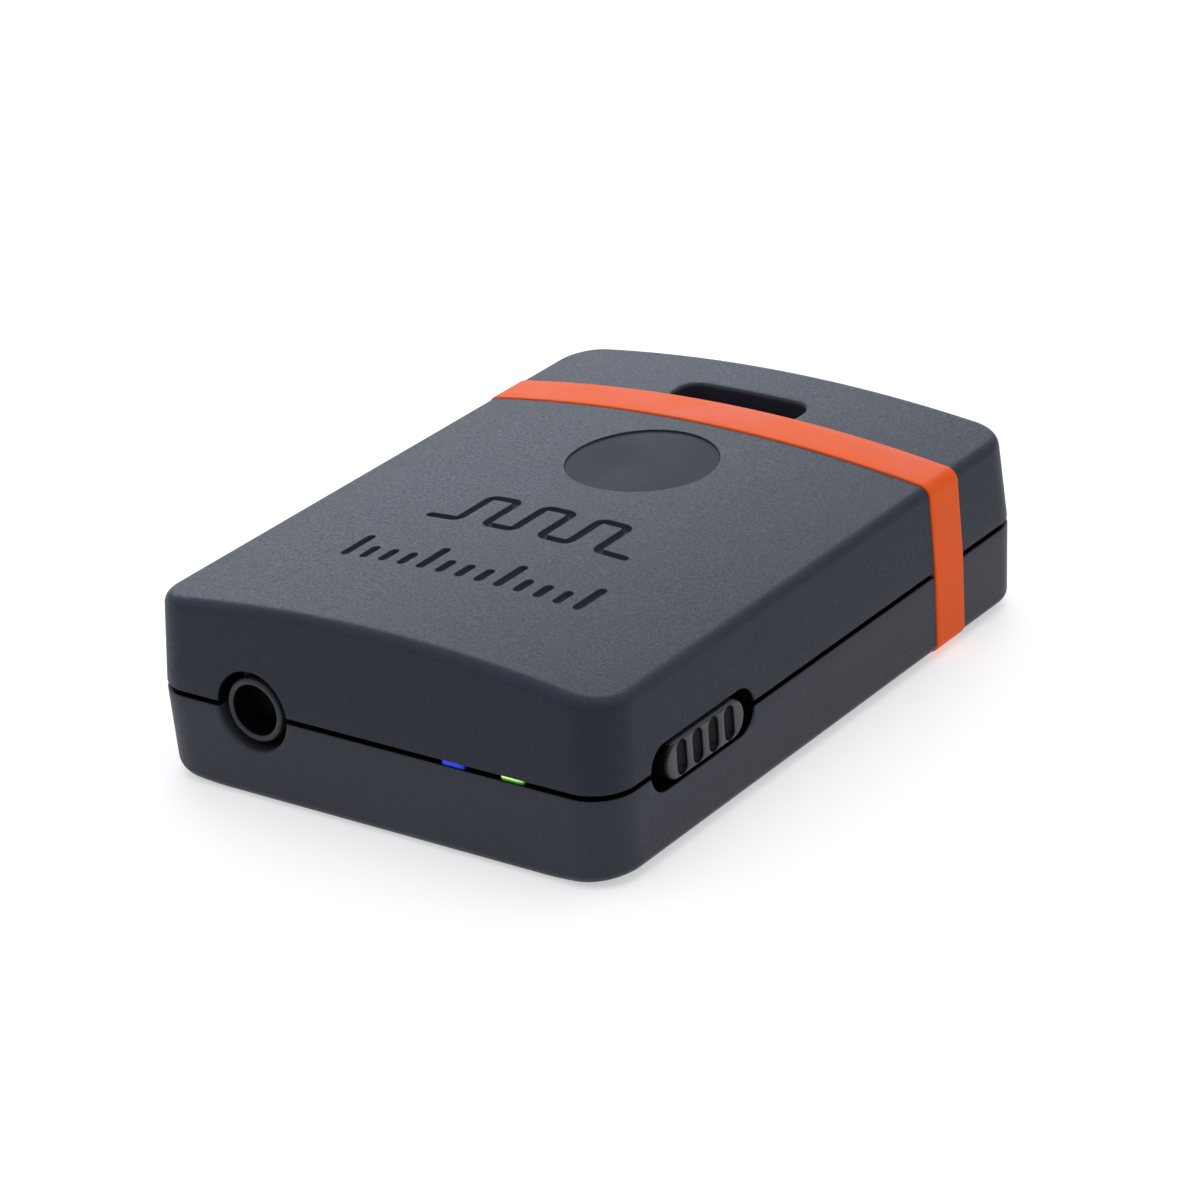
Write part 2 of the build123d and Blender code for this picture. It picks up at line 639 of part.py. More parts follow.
def make_usb_tongue():
    """Moulded insert of the charging socket: a back wall and the contact tongue."""
    gap = USB_SHEET + 0.03
    back_y = (USB_Y - USB_HALF_Y + gap, USB_Y + USB_HALF_Y - gap)
    back = span((USB_X[1] - 1.2, USB_X[1]), back_y, (USB_Z[0] + gap, USB_Z[1] - gap))
    back = chamfer(back.edges().filter_by(Axis.X).sort_by(Axis.Z)[:2], 0.7)
    tongue = span((USB_X[0] + 0.5, USB_X[1] - 1), (USB_Y - 1.8, USB_Y + 1.8), (5.3, 5.9))
    return back + tongue


def make_battery_cell():
    """Pouch cell: a soft-edged block with the folded seal at its front."""
    cell = span((-CELL_HALF_X, CELL_HALF_X), (CELL_Y[0] + 1.6, CELL_Y[1]), CELL_Z)
    cell = fillet(cell.edges().filter_by(Axis.Y), 1.2)
    middle_z = sum(CELL_Z) / 2
    seal_z = (middle_z - 0.6, middle_z + 1.4)
    seal = span((1 - CELL_HALF_X, CELL_HALF_X - 1), (CELL_Y[0], CELL_Y[0] + 2), seal_z)
    return cell + seal


def make_battery_pad():
    """Foam tape that holds the cell against the ribs of the top cover."""
    pad = span((-PAD_HALF_X, PAD_HALF_X), PAD_Y, (CELL_Z[1], CELL_Z[1] + PAD_T))
    return fillet(pad.edges().filter_by(Axis.Z), 1.0)


def make_battery_socket():
    """Header on the board, open to the rear for the plug."""
    z_range = (BOARD_Z[1] + SOLDER, BOARD_Z[1] + SOCKET_H)
    body = span(SOCKET_X, SOCKET_Y, z_range)
    pocket_x = (SOCKET_X[0] + 0.5, SOCKET_X[1] - 0.5)
    pocket_z = (z_range[0] + 0.5, z_range[1] - 0.5)
    return body - span(pocket_x, (SOCKET_Y[0] + 1, SOCKET_Y[1] + 1), pocket_z)


def make_battery_plug():
    """Plug on the cell's leads, pushed into the header from the rear."""
    x_range = (SOCKET_X[0] + 0.55, SOCKET_X[1] - 0.55)
    z_range = (BOARD_Z[1] + SOLDER + 0.55, BOARD_Z[1] + SOCKET_H - 0.55)
    plug = span(x_range, (SOCKET_Y[0] + 1.1, SOCKET_Y[1] + 1.2), z_range)
    for x in LEAD_X.values():
        plug -= rod_y(x, LEAD_LOW_Z, LEAD_R + 0.02, SOCKET_Y[1] - 0.5, SOCKET_Y[1] + 2)
    return plug


def make_battery_lead(colour):
    """Lead from the plug up to the cell's seal, one gentle S of two tangent arcs."""
    x = LEAD_X[colour]
    start_y = SOCKET_Y[1] - 0.45
    end_y = CELL_Y[0] - 0.02
    points = [
        (x, start_y, LEAD_LOW_Z),
        (x, start_y + 2.3, LEAD_LOW_Z),
        (x, end_y - 1.4, LEAD_HIGH_Z),
        (x, end_y, LEAD_HIGH_Z),
    ]
    path = FilletPolyline(*points, radius=1.4)
    return sweep(Plane(origin=path @ 0, z_dir=path % 0) * Circle(LEAD_R), path)


def chip_row(x, y, count, pitch, size):
    """Small parts in a row along X."""
    return [chip(x + i * pitch, y, size) for i in range(count)]


def make_capacitors():
    """Small capacitors round the chips."""
    size = (0.6, 1.0, 0.55)
    return Compound(chip_row(-3.0, 8.5, 5, 1.5, size) + chip_row(-12.5, -7.5, 4, 1.4, size))


def make_resistors():
    """Small resistors beside the lights and the codec."""
    size = (0.5, 1.0, 0.35)
    return Compound(chip_row(4.2, -19.6, 6, 1.3, size) + chip_row(8.0, -7.5, 4, 1.3, size))


def make_antenna():
    """Chip antenna at the rear right of the board."""
    return chip(12.0, 13.0, (6.5, 2.0, 1.2))


def make_parts():
    """Every node by name."""
    parts = {
        "top_cover": make_top_cover(),
        "bottom_cover": make_bottom_cover(),
        "id_band": make_id_band(),
        "case_screws": make_case_screws(),
        "audio_jack": make_audio_jack(),
        "main_pcb": make_main_pcb(),
        "switch_body": make_switch_body(),
        "switch_slider": make_switch_slider(),
        "switch_spring": make_switch_spring(),
        "switch_terminals": make_switch_terminals(),
        "switch_knob": make_switch_knob(),
        "usb_socket": make_usb_socket(),
        "usb_tongue": make_usb_tongue(),
        "battery_cell": make_battery_cell(),
        "battery_pad": make_battery_pad(),
        "battery_socket": make_battery_socket(),
        "battery_plug": make_battery_plug(),
        "microcontroller": chip(4.5, 1.0, (6.0, 6.0, 0.85)),
        "timebase_oscillator": chip(-4.5, 4.5, (3.2, 2.5, 1.1), 0.3),
        "audio_codec": chip(-10.0, -4.6, (4.0, 4.0, 0.85)),
        "charge_controller": chip(-10.5, 5.0, (3.0, 3.0, 0.75)),
        "antenna": make_antenna(),
        "capacitors": make_capacitors(),
        "resistors": make_resistors(),
    }
    for name in CONTACTS:
        parts[name] = make_contact(name)
    for colour in LIGHT_X:
        parts["light_pipe_" + colour] = make_light_pipe(colour)
        parts["led_" + colour] = make_led(colour)
    for colour in LEAD_X:
        parts["battery_lead_" + colour] = make_battery_lead(colour)
    return parts


os.makedirs("parts", exist_ok=True)
for node, shape in make_parts().items():
    export_step(shape, f"parts/{node}.step")
    print(node, round(shape.volume, 2), "mm3")
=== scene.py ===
import json
import math

import bmesh
import bpy
import numpy as np
from mathutils import Matrix, Vector


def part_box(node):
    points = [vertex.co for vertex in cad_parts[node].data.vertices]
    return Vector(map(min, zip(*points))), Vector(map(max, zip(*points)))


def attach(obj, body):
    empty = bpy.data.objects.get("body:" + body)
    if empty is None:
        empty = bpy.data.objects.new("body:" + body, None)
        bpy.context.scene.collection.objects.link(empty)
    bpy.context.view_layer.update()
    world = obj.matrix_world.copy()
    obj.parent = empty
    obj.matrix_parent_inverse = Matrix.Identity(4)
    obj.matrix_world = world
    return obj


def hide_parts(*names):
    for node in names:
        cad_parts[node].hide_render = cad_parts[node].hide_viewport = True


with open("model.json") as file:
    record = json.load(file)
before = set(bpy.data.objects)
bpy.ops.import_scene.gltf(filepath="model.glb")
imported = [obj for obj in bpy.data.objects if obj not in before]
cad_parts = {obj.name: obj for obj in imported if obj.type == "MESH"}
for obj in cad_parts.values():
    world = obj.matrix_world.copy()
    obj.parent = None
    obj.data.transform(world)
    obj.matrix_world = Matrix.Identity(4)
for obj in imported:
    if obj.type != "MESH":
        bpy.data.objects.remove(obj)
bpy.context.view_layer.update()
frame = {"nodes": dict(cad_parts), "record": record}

# Pocket timecode generator. Shapes are built in millimetres in the CAD frame and scaled to metres
# once they are whole: X across (switch side +), Y from the jack to the rear, Z up.
MM = 0.001
scene = bpy.context.scene
scene.view_settings.view_transform = "Standard"


def box_mm(node):
    """Lowest and highest corner of a CAD node, in millimetres."""
    low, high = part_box(node)
    return low / MM, high / MM


def middle_and_half(low, high):
    """Middle of the space between two corners, and half its size along each axis."""
    pairs = list(zip(low, high))
    return [(a + b) / 2 for a, b in pairs], [(b - a) / 2 for a, b in pairs]


# ---- case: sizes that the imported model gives, then the ones that its walls are drawn with ----
UPPER_LOW, UPPER_HIGH = box_mm("top_cover")
LOWER_LOW, LOWER_HIGH = box_mm("bottom_cover")
PART_Z = UPPER_LOW.z
GAP_H = 0.4
GAP_Z = (PART_Z - GAP_H / 2, PART_Z + GAP_H / 2)
GAP_DEPTH = 0.95
CROWN = 1.49
HALF_WIDTH = 19.0
CROWN_R = (HALF_WIDTH**2 + CROWN**2) / (2 * CROWN)
CROWN_CENTRE_Z = UPPER_HIGH.z - CROWN_R
DRAFT_SIDE = math.tan(math.radians(2.0))
DRAFT_END = math.tan(math.radians(4.4))
DRAFT_LOWER_SIDE = math.tan(math.radians(1.0))
DRAFT_LOWER_END = math.tan(math.radians(0.1))
CORNER_R = 3.0
CORNER_GROWTH = 0.4 / PART_Z      # the vertical corners open out towards the underside
TOP_EDGE_R = 0.85
BOTTOM_EDGE_R = 0.8
BELLY_FLAT = 13.0
BELLY_R = 26.8
WALL = 1.6
FLOOR = 1.4
CEILING = 1.5
INNER_EDGE_R = 0.5
RIM_R = 0.09                      # broken edge along the parting gap
LIP_CLEAR = 0.15
LIP_T = 0.6
LIP_ROOT = PART_Z - 1.15
BOSS_R = 1.6

# ---- mesh density ----
ACROSS = 56
ALONG = 76
CORNER_CELLS = 16
EDGE_STEPS = 9


class Surface:
    """Vertices and faces gathered row by row; a row is a closed loop of points."""

    def __init__(self):
        self.points = []
        self.faces = []

    def row(self, points):
        start = len(self.points)
        self.points.extend(tuple(float(v) for v in p) for p in points)
        return list(range(start, len(self.points)))

    def bridge(self, a, b):
        n = len(a)
        for i in range(n):
            j = (i + 1) % n
            self.faces.append((a[i], a[j], b[j], b[i]))

    def rows(self, rows):
        """Adds rows and joins each to the next; returns the first and the last."""
        made = [self.row(r) for r in rows]
        for a, b in zip(made, made[1:]):
            self.bridge(a, b)
        return made[0], made[-1]

    def sheet(self, rows):
        """Faces between neighbouring rows that aren't loops."""
        for a, b in zip(rows, rows[1:]):
            self.faces += [(a[j], b[j], b[j + 1], a[j + 1]) for j in range(len(a) - 1)]

    def grid_cap(self, row, across, along, height):
        """Fills a four-sided row with a regular grid whose height is a function of x and y."""
        p = np.array([self.points[i] for i in row])
        front = row[: across + 1]
        right = row[across : across + along + 1]
        rear = row[across + along : 2 * across + along + 1][::-1]
        left = [row[0]] + row[2 * across + along :][::-1]
        lookup = dict(zip(row, p))
        grid = [[None] * (along + 1) for _ in range(across + 1)]
        for i in range(across + 1):
            grid[i][0] = front[i]
            grid[i][along] = rear[i]
        for j in range(along + 1):
            grid[0][j] = left[j]
            grid[across][j] = right[j]
        c00, c10, c01, c11 = (lookup[k] for k in (front[0], front[-1], rear[0], rear[-1]))
        for i in range(1, across):
            u = i / across
            for j in range(1, along):
                v = j / along
                q = (1 - v) * lookup[front[i]] + v * lookup[rear[i]]
                q = q + (1 - u) * lookup[left[j]] + u * lookup[right[j]]
                q = q - (1 - u) * ((1 - v) * c00 + v * c01) - u * ((1 - v) * c10 + v * c11)
                grid[i][j] = len(self.points)
                self.points.append((q[0], q[1], height(q[0], q[1])))
        self.sheet(grid)

    def piece(self, name):
        """The closed mesh as an object in millimetres, its faces turned outwards."""
        mesh = bpy.data.meshes.new(name)
        mesh.from_pydata(self.points, [], self.faces)
        work = bmesh.new()
        work.from_mesh(mesh)
        bmesh.ops.remove_doubles(work, verts=work.verts, dist=1e-5)
        bmesh.ops.recalc_face_normals(work, faces=work.faces)
        work.to_mesh(mesh)
        work.free()
        made = bpy.data.objects.new(name, mesh)
        scene.collection.objects.link(made)
        return made


def capped(name, rows):
    """Solid through a stack of rows, closed flat at both ends."""
    surface = Surface()
    surface.faces += [tuple(row) for row in surface.rows(rows)]
    return surface.piece(name)


def closed_ring(name, rows):
    """Ring whose last row joins its first."""
    surface = Surface()
    first, last = surface.rows(rows)
    surface.bridge(last, first)
    return surface.piece(name)


def combine(piece, tools, operation):
    """Cuts tools out of piece, or adds them to it, and removes them."""
    for tool in tools:
        modifier = piece.modifiers.new("combine", "BOOLEAN")
        modifier.operation = operation
        modifier.solver = "EXACT"
        modifier.object = tool
        made = piece.evaluated_get(bpy.context.evaluated_depsgraph_get())
        mesh = bpy.data.meshes.new_from_object(made)
        piece.modifiers.clear()
        piece.data = mesh
        bpy.data.objects.remove(tool)


def settle(piece, material, body, nodes, sharp_degrees=32):
    """Closes up slivers, scales a whole piece to metres, smooths it and ties it to the frame."""
    work = bmesh.new()
    work.from_mesh(piece.data)
    bmesh.ops.remove_doubles(work, verts=work.verts, dist=1e-4)
    bmesh.ops.dissolve_degenerate(work, edges=work.edges, dist=1e-4)
    work.to_mesh(piece.data)
    work.free()
    piece.data.transform(Matrix.Scale(MM, 4))
    piece.data.shade_smooth()
    piece.data.set_sharp_from_angle(angle=math.radians(sharp_degrees))
    piece.data.materials.clear()
    piece.data.materials.append(material)
    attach(piece, body)
    if nodes:
        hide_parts(*nodes)
    return piece


# ---- case walls ----
def loop_pattern(across, along, corner):
    """Place of each point round a rounded rectangle: share of the half sides, and normal."""
    rows = []
    for side in range(4):
        count = along if side % 2 else across
        angles = [math.radians(225 + 90 * side), math.radians(315 + 90 * side)]
        signs = [(math.copysign(1, math.cos(a)), math.copysign(1, math.sin(a))) for a in angles]
        flat = math.radians(270 + 90 * side)
        for i in range(corner // 2):
            angle = angles[0] + (flat - angles[0]) * i / (corner // 2)
            rows.append((*signs[0], math.cos(angle), math.sin(angle)))
        for i in range(count):
            t = i / count
            fx = signs[0][0] * (1 - t) + signs[1][0] * t
            fy = signs[0][1] * (1 - t) + signs[1][1] * t
            rows.append((fx, fy, math.cos(flat), math.sin(flat)))
        for i in range(corner // 2):
            angle = flat + (angles[1] - flat) * i / (corner // 2)
            rows.append((*signs[1], math.cos(angle), math.sin(angle)))
    return np.array(rows)


PATTERN = loop_pattern(ACROSS, ALONG, CORNER_CELLS)
SIDE_POINT = np.array([[1.0, 0.0, 1.0, 0.0]])      # one point in the middle of the right side


class Wall:
    """Drafted wall of one shell, a rounded rectangle that changes with height."""

    def __init__(self, rim_z, half_x, half_y, slopes, corner_slope):
        self.rim_z = rim_z
        self.half = (half_x, half_y)
        self.slopes = slopes
        self.corner_slope = corner_slope

    def at(self, z, inset=0.0, pattern=PATTERN):
        """Points and outward normals at height z, drawn in by inset."""
        fx, fy, nx, ny = pattern.T
        z = np.broadcast_to(np.asarray(z, float), fx.shape)
        rise = z - self.rim_z
        radius = CORNER_R - inset + self.corner_slope * rise
        radius = np.maximum(radius, 0.6)
        x = fx * (self.half[0] + self.slopes[0] * rise - inset - radius) + nx * radius
        y = fy * (self.half[1] + self.slopes[1] * rise - inset - radius) + ny * radius
        lean_x = np.abs(nx) * (self.slopes[0] - self.corner_slope)
        lean_y = np.abs(ny) * (self.slopes[1] - self.corner_slope)
        normals = np.stack([nx, ny, -(lean_x + lean_y + self.corner_slope)], 1)
        normals /= np.linalg.norm(normals, axis=1)[:, None]
        return np.stack([x, y, z], 1), normals


UPPER_WALL = Wall(GAP_Z[1], UPPER_HIGH.x, UPPER_HIGH.y, (-DRAFT_SIDE, -DRAFT_END), 0.0)
LOWER_SLOPES = (DRAFT_LOWER_SIDE, DRAFT_LOWER_END)
LOWER_WALL = Wall(GAP_Z[0], LOWER_HIGH.x, LOWER_HIGH.y, LOWER_SLOPES, -CORNER_GROWTH)


def crown_z(x, drop=0.0):
    """Height of the crowned top, lowered by drop."""
    return CROWN_CENTRE_Z + np.sqrt((CROWN_R - drop) ** 2 - np.square(x))


def crown_foot(points, drop):
    """Distance under the crown and the nearest point on it."""
    reach = np.hypot(points[:, 0], points[:, 2] - CROWN_CENTRE_Z)
    scale = (CROWN_R - drop) / reach
    foot = points.copy()
    foot[:, 0] *= scale
    foot[:, 2] = CROWN_CENTRE_Z + (points[:, 2] - CROWN_CENTRE_Z) * scale
    return CROWN_R - drop - reach, foot


def belly_z(x, floor=0.0):
    """Height of the underside: flat in the middle, rising to the long sides."""
    out = np.maximum(np.abs(x) - BELLY_FLAT, 0.0)
    return floor + (BELLY_R - np.sqrt(BELLY_R**2 - out**2)) * (floor == 0.0)


def belly_foot(points, floor):
    """Distance above the underside or the inner floor, and the nearest point on it."""
    foot = points.copy()
    if floor:
        foot[:, 2] = floor
        return points[:, 2] - floor, foot
    side = np.sign(points[:, 0])
    out = np.maximum(np.abs(points[:, 0]) - BELLY_FLAT, 0.0)
    reach = np.hypot(out, BELLY_R - points[:, 2])
    scale = BELLY_R / reach
    foot[:, 0] = np.where(out > 0, side * (BELLY_FLAT + out * scale), points[:, 0])
    foot[:, 2] = BELLY_R - (BELLY_R - points[:, 2]) * scale
    return BELLY_R - reach, foot


def rounded_edge(wall, foot, level, inset, radius, z_range, pattern=PATTERN):
    """Rows of a rolled edge between a wall and the face that foot describes, wall first."""
    sign = -1 if inset else 1
    count = len(pattern)
    near = np.full(count, float(z_range[0]))
    far = np.full(count, float(z_range[1]))
    for _ in range(40):
        middle = (near + far) / 2
        points, normals = wall.at(middle, inset, pattern)
        centres = points - radius * normals
        distance, _ = foot(centres, level)
        inside = distance > radius
        near = np.where(inside, middle, near)
        far = np.where(inside, far, middle)
    points, normals = wall.at(near, inset, pattern)
    centres = points - radius * normals
    _, feet = foot(centres, level)
    ends = (feet - centres) / radius
    angle = np.arccos(np.clip((normals * ends).sum(1), -1, 1))[:, None]
    rows, row_normals = [], []
    for k in range(EDGE_STEPS + 1):
        t = k / EDGE_STEPS
        turn = (np.sin((1 - t) * angle) * normals + np.sin(t * angle) * ends) / np.sin(angle)
        rows.append(centres + radius * turn)
        row_normals.append(sign * turn)
    return rows, row_normals


def wall_rows(wall, z_values, inset):
    return [wall.at(z, inset)[0] for z in z_values]


def rim_rows(wall, rim_z, direction, inset):
    """Broken edge where a wall meets the parting gap, from the wall to the flat rim."""
    rows = []
    for k in range(4):
        turn = math.pi / 2 * k / 3
        z = rim_z + direction * RIM_R * (1 - math.sin(turn))
        rows.append(wall.at(z, inset + RIM_R * (1 - math.cos(turn)))[0])
    return rows


def shell_body(name, wall, up, roof, foot, depth, edge_r):
    """One shell with its outer and inner skin as a single closed mesh."""
    sign = 1 if up else -1
    rim_z = wall.rim_z
    far_z = UPPER_HIGH.z if up else LOWER_LOW.z
    outer_edge, _ = rounded_edge(wall, foot, 0.0, 0.0, edge_r, (rim_z, far_z))
    inner_far = far_z - sign * 0.6
    inner_edge, _ = rounded_edge(wall, foot, depth, WALL, INNER_EDGE_R, (rim_z, inner_far))
    grid = (ACROSS + CORNER_CELLS, ALONG + CORNER_CELLS)
    outer_levels = [rim_z + sign * s for s in (2.6, 1.3)]
    outer = [*outer_edge[::-1], *wall_rows(wall, outer_levels, 0.0)]
    outer += rim_rows(wall, rim_z, sign, 0.0)
    outer += wall_rows(wall, [rim_z, PART_Z], GAP_DEPTH)
    inner = lip_rows(wall) if not up else wall_rows(wall, [PART_Z], WALL)
    inner += inner_edge
    surface = Surface()
    first, last = surface.rows(outer + inner)
    surface.grid_cap(first, *grid, lambda x, y: roof(x, 0.0))
    surface.grid_cap(last, *grid, lambda x, y: roof(x, depth))
    return surface.piece(name)


def lip_rows(wall):
    """Locating lip that stands up inside the upper shell, with broken edges."""
    out = WALL + LIP_CLEAR
    back = out + LIP_T
    top = LOWER_HIGH.z
    rows = wall_rows(wall, [PART_Z, top - 0.15], out)
    rows += wall_rows(wall, [top], out + 0.15)
    rows += wall_rows(wall, [top], back - 0.1)
    rows += wall_rows(wall, [top - 0.1, LIP_ROOT], back)
    return rows + wall_rows(wall, [LIP_ROOT - 0.3], WALL)


# ---- simple solids used to add and to cut ----
def levels_solid(name, plane, levels, cells=(6, 6, 12)):
    """Solid through rounded rectangles; a level is half u, half v, corner radius, height w."""
    pattern = loop_pattern(*cells)
    fx, fy, nx, ny = pattern.T
    rows = []
    for half_u, half_v, radius, w in levels:
        u = fx * (half_u - radius) + nx * radius
        v = fy * (half_v - radius) + ny * radius
        rows.append([plane(a, b, w) for a, b in zip(u, v)])
    return capped(name, rows)


def stadium(name, y, half, levels, cells):
    """Solid with stadium outlines facing right; a level is how far it shrinks, and X."""
    shapes = []
    for shrink, x in levels:
        u, v = half[0] - shrink, half[1] - shrink
        shapes.append((u, v, min(u, v) - 1e-3, x))
    return levels_solid(name, lambda u, v, w: (w, y + u, PART_Z + v), shapes, cells)


def turned(name, profile, place, segments=72):
    """Solid of revolution; a profile point is distance along the axis and radius."""
    turn = [2 * math.pi * i / segments for i in range(segments)]
    rows = []
    for along, radius in profile:
        rows.append([place(along, radius * math.cos(a), radius * math.sin(a)) for a in turn])
    return capped(name, rows)


def upright(x, y):
    """Placing function for things turned about a vertical axis."""
    return lambda along, a, b: (x + a, y + b, along)


def block(low, high):
    """Plain box between two corners, as a tool for adding and cutting."""
    (x, y, _), half = middle_and_half(low, high)
    levels = [(half[0], half[1], 0.05, w) for w in (low[2], high[2])]
    return levels_solid("block", lambda u, v, w: (x + u, y + v, w), levels, (1, 1, 4))


def arc_levels(radius, steps):
    """Quarter round from a face down into a hole: outward shift and depth."""
    turns = [math.pi / 2 * k / steps for k in range(steps + 1)]
    return [(radius * (1 - math.sin(t)), radius * (1 - math.cos(t))) for t in turns]


# ---- openings ----
JACK_LOW, JACK_HIGH = box_mm("audio_jack")
JACK_X = (JACK_LOW.x + JACK_HIGH.x) / 2
FRONT_Y = LOWER_LOW.y
NOSE_Y = JACK_LOW.y
NOSE_R = 2.3
BORE_R = 1.8
BORE_DEPTH = 14.5
RECESS_R = 2.88
RECESS_RIM = 0.24


def at_jack(y, across, up):
    """Placing function for things turned about the jack's axis."""
    return (JACK_X + across, y, PART_Z + up)


def jack_recess():
    """Round recess for the jack's nose with a rolled rim, crossed by the parting gap."""
    profile = [(FRONT_Y - 1.0, RECESS_R + RECESS_RIM)]
    profile += [(FRONT_Y + depth, RECESS_R + shift) for shift, depth in arc_levels(RECESS_RIM, 6)]
    profile.append((FRONT_Y + WALL + 0.5, RECESS_R))
    hole = turned("recess", profile, at_jack, 120)
    low = (JACK_X - RECESS_R, FRONT_Y - 0.5, GAP_Z[0])
    high = (JACK_X + RECESS_R, FRONT_Y + WALL + 0.4, GAP_Z[1])
    combine(hole, [block(low, high)], "UNION")
    return hole


SLOT_HALF_X = 5.3
SLOT_Y = (16.6, 19.9)
SLOT_R = 1.3
SLOT_RIM = 0.28
SLOT_WALL = 1.0


def slot_plane(u, v, w):
    return (u, (SLOT_Y[0] + SLOT_Y[1]) / 2 + v, w)


def slot_column(margin, z_low, z_high):
    """Upright column of the lanyard slot, widened by margin."""
    half_v = (SLOT_Y[1] - SLOT_Y[0]) / 2 + margin
    levels = [(SLOT_HALF_X + margin, half_v, SLOT_R + margin, z) for z in (z_low, z_high)]
    return levels_solid("slot", slot_plane, levels, (12, 6, 32))


def slot_rim(z_face, direction):
    """Flared mouth of the slot that softens its edge; follows the crown on top."""
    pattern = loop_pattern(16, 6, 32)
    fx, fy, nx, ny = pattern.T
    half_v = (SLOT_Y[1] - SLOT_Y[0]) / 2
    rows = []
    shifts = [(SLOT_RIM, -1.0)] + arc_levels(SLOT_RIM, 5) + [(-0.02, SLOT_RIM + 0.4)]
    for shift, depth in shifts:
        u = fx * (SLOT_HALF_X - SLOT_R) + nx * (SLOT_R + shift)
        v = fy * (half_v - SLOT_R) + ny * (SLOT_R + shift)
        rows.append([slot_plane(a, b, z_face(a) - direction * depth) for a, b in zip(u, v)])
    surface = Surface()
    first, last = surface.rows(rows)
    surface.grid_cap(first, 16 + 32, 6 + 32, lambda x, y: z_face(x) + direction)
    surface.grid_cap(last, 16 + 32, 6 + 32, lambda x, y: z_face(x) - direction * (SLOT_RIM + 0.4))
    return surface.piece("slot_rim")


OPENING_Y = -14.9
OPENING_HALF = (11.85 / 2, 3.4 / 2)
OPENING_FLARE = 0.12


def switch_opening():
    """Stadium hole for the knob, its edge rolled inwards."""
    rim = [(OPENING_FLARE, -1.0)] + arc_levels(OPENING_FLARE, 5)
    levels = [(-shift, HALF_WIDTH - depth) for shift, depth in rim]
    levels.append((0.0, HALF_WIDTH - WALL - 1.2))
    return stadium("opening", OPENING_Y, OPENING_HALF, levels, (24, 2, 40))


USB_LOW, USB_HIGH = box_mm("usb_socket")
(_, USB_Y, _), (_, USB_HALF_Y, _) = middle_and_half(USB_LOW, USB_HIGH)
USB_CLEAR = 0.2
USB_RIM = 0.18


def usb_opening():
    """Hole for the charging socket, open up to the parting gap."""
    top = GAP_Z[1]
    half_u = USB_HALF_Y + USB_CLEAR
    half_v = top - USB_LOW.z + USB_CLEAR
    face = LOWER_LOW.x
    levels = [(half_u + USB_RIM, half_v + USB_RIM, 0.9 + USB_RIM, face - 1)]
    for shift, depth in arc_levels(USB_RIM, 4):
        levels.append((half_u + shift, half_v + shift, 0.9 + shift, face + depth))
    levels.append((half_u, half_v, 0.9, face + WALL + 0.6))
    hole = levels_solid("usb", lambda u, v, w: (w, USB_Y + u, top + v), levels, (12, 4, 24))
    far = (face + 4, USB_Y + 2 * half_u, top + 2 * half_v)
    upper = block((face - 2, USB_Y - 2 * half_u, top), far)
    combine(hole, [upper], "DIFFERENCE")
    return hole


def pipe_notches():
    """Gaps in both walls for the two light pipes."""
    notches = []
    for node in ("light_pipe_blue", "light_pipe_green"):
        low, high = box_mm(node)
        front = (low.x - 0.05, FRONT_Y - 1, GAP_Z[0])
        notches.append(block(front, (high.x + 0.05, high.y + 0.3, GAP_Z[1])))
    return notches


# ---- section of the case, which the band and its groove follow ----
def outline_points(points, normals):
    """Points of the section in X and Z with their normals."""
    return [(p[0][0], p[0][2], n[0][0], n[0][2]) for p, n in zip(points, normals)]


def case_section():
    """Closed outline of the case across X and Z with outward normals, right half mirrored."""
    half = [(x, 0.0, 0.0, -1.0) for x in np.linspace(0, BELLY_FLAT, 14)]
    lower, lower_n = rounded_edge(
        LOWER_WALL, belly_foot, 0.0, 0.0, BOTTOM_EDGE_R, (LOWER_WALL.rim_z, 0.0), SIDE_POINT
    )
    upper, upper_n = rounded_edge(
        UPPER_WALL, crown_foot, 0.0, 0.0, TOP_EDGE_R, (UPPER_WALL.rim_z, UPPER_HIGH.z), SIDE_POINT
    )
    for x in np.linspace(BELLY_FLAT, lower[-1][0][0], 12)[1:-1]:
        out = x - BELLY_FLAT
        half.append((x, float(belly_z(x)), out / BELLY_R, -math.sqrt(1 - (out / BELLY_R) ** 2)))
    half += outline_points(lower[::-1], lower_n[::-1])
    for wall, heights in ((LOWER_WALL, (2.5, 4.5, 6.2)), (UPPER_WALL, (6.9, 8.5, 10.5))):
        half += outline_points(*zip(*(wall.at(z, 0.0, SIDE_POINT) for z in heights)))
    half += outline_points(upper, upper_n)
    for x in np.linspace(upper[-1][0][0], 0, 40)[1:]:
        half.append((x, float(crown_z(x)), x / CROWN_R, math.sqrt(1 - (x / CROWN_R) ** 2)))
    mirrored = [(-x, z, -nx, nz) for x, z, nx, nz in half[-2:0:-1]]
    return half + mirrored


SECTION = case_section()
BAND_LOW, BAND_HIGH = box_mm("id_band")
BAND_DEPTH = 0.8
BAND_PROUD = BAND_HIGH.z - UPPER_HIGH.z
BAND_EDGE_R = 0.14
GROOVE_CLEAR = 0.02
GROOVE_EDGE = 0.05


def section_row(offset, y, lowest=-9.0):
    """The case section moved out by offset, standing at y."""
    return [(x + nx * offset, y, max(z + nz * offset, lowest)) for x, z, nx, nz in SECTION]


def ring_piece(name, profile, lowest=-9.0):
    """Closed ring round the case; a profile point is place along Y and offset."""
    return closed_ring(name, [section_row(offset, y, lowest) for y, offset in profile])


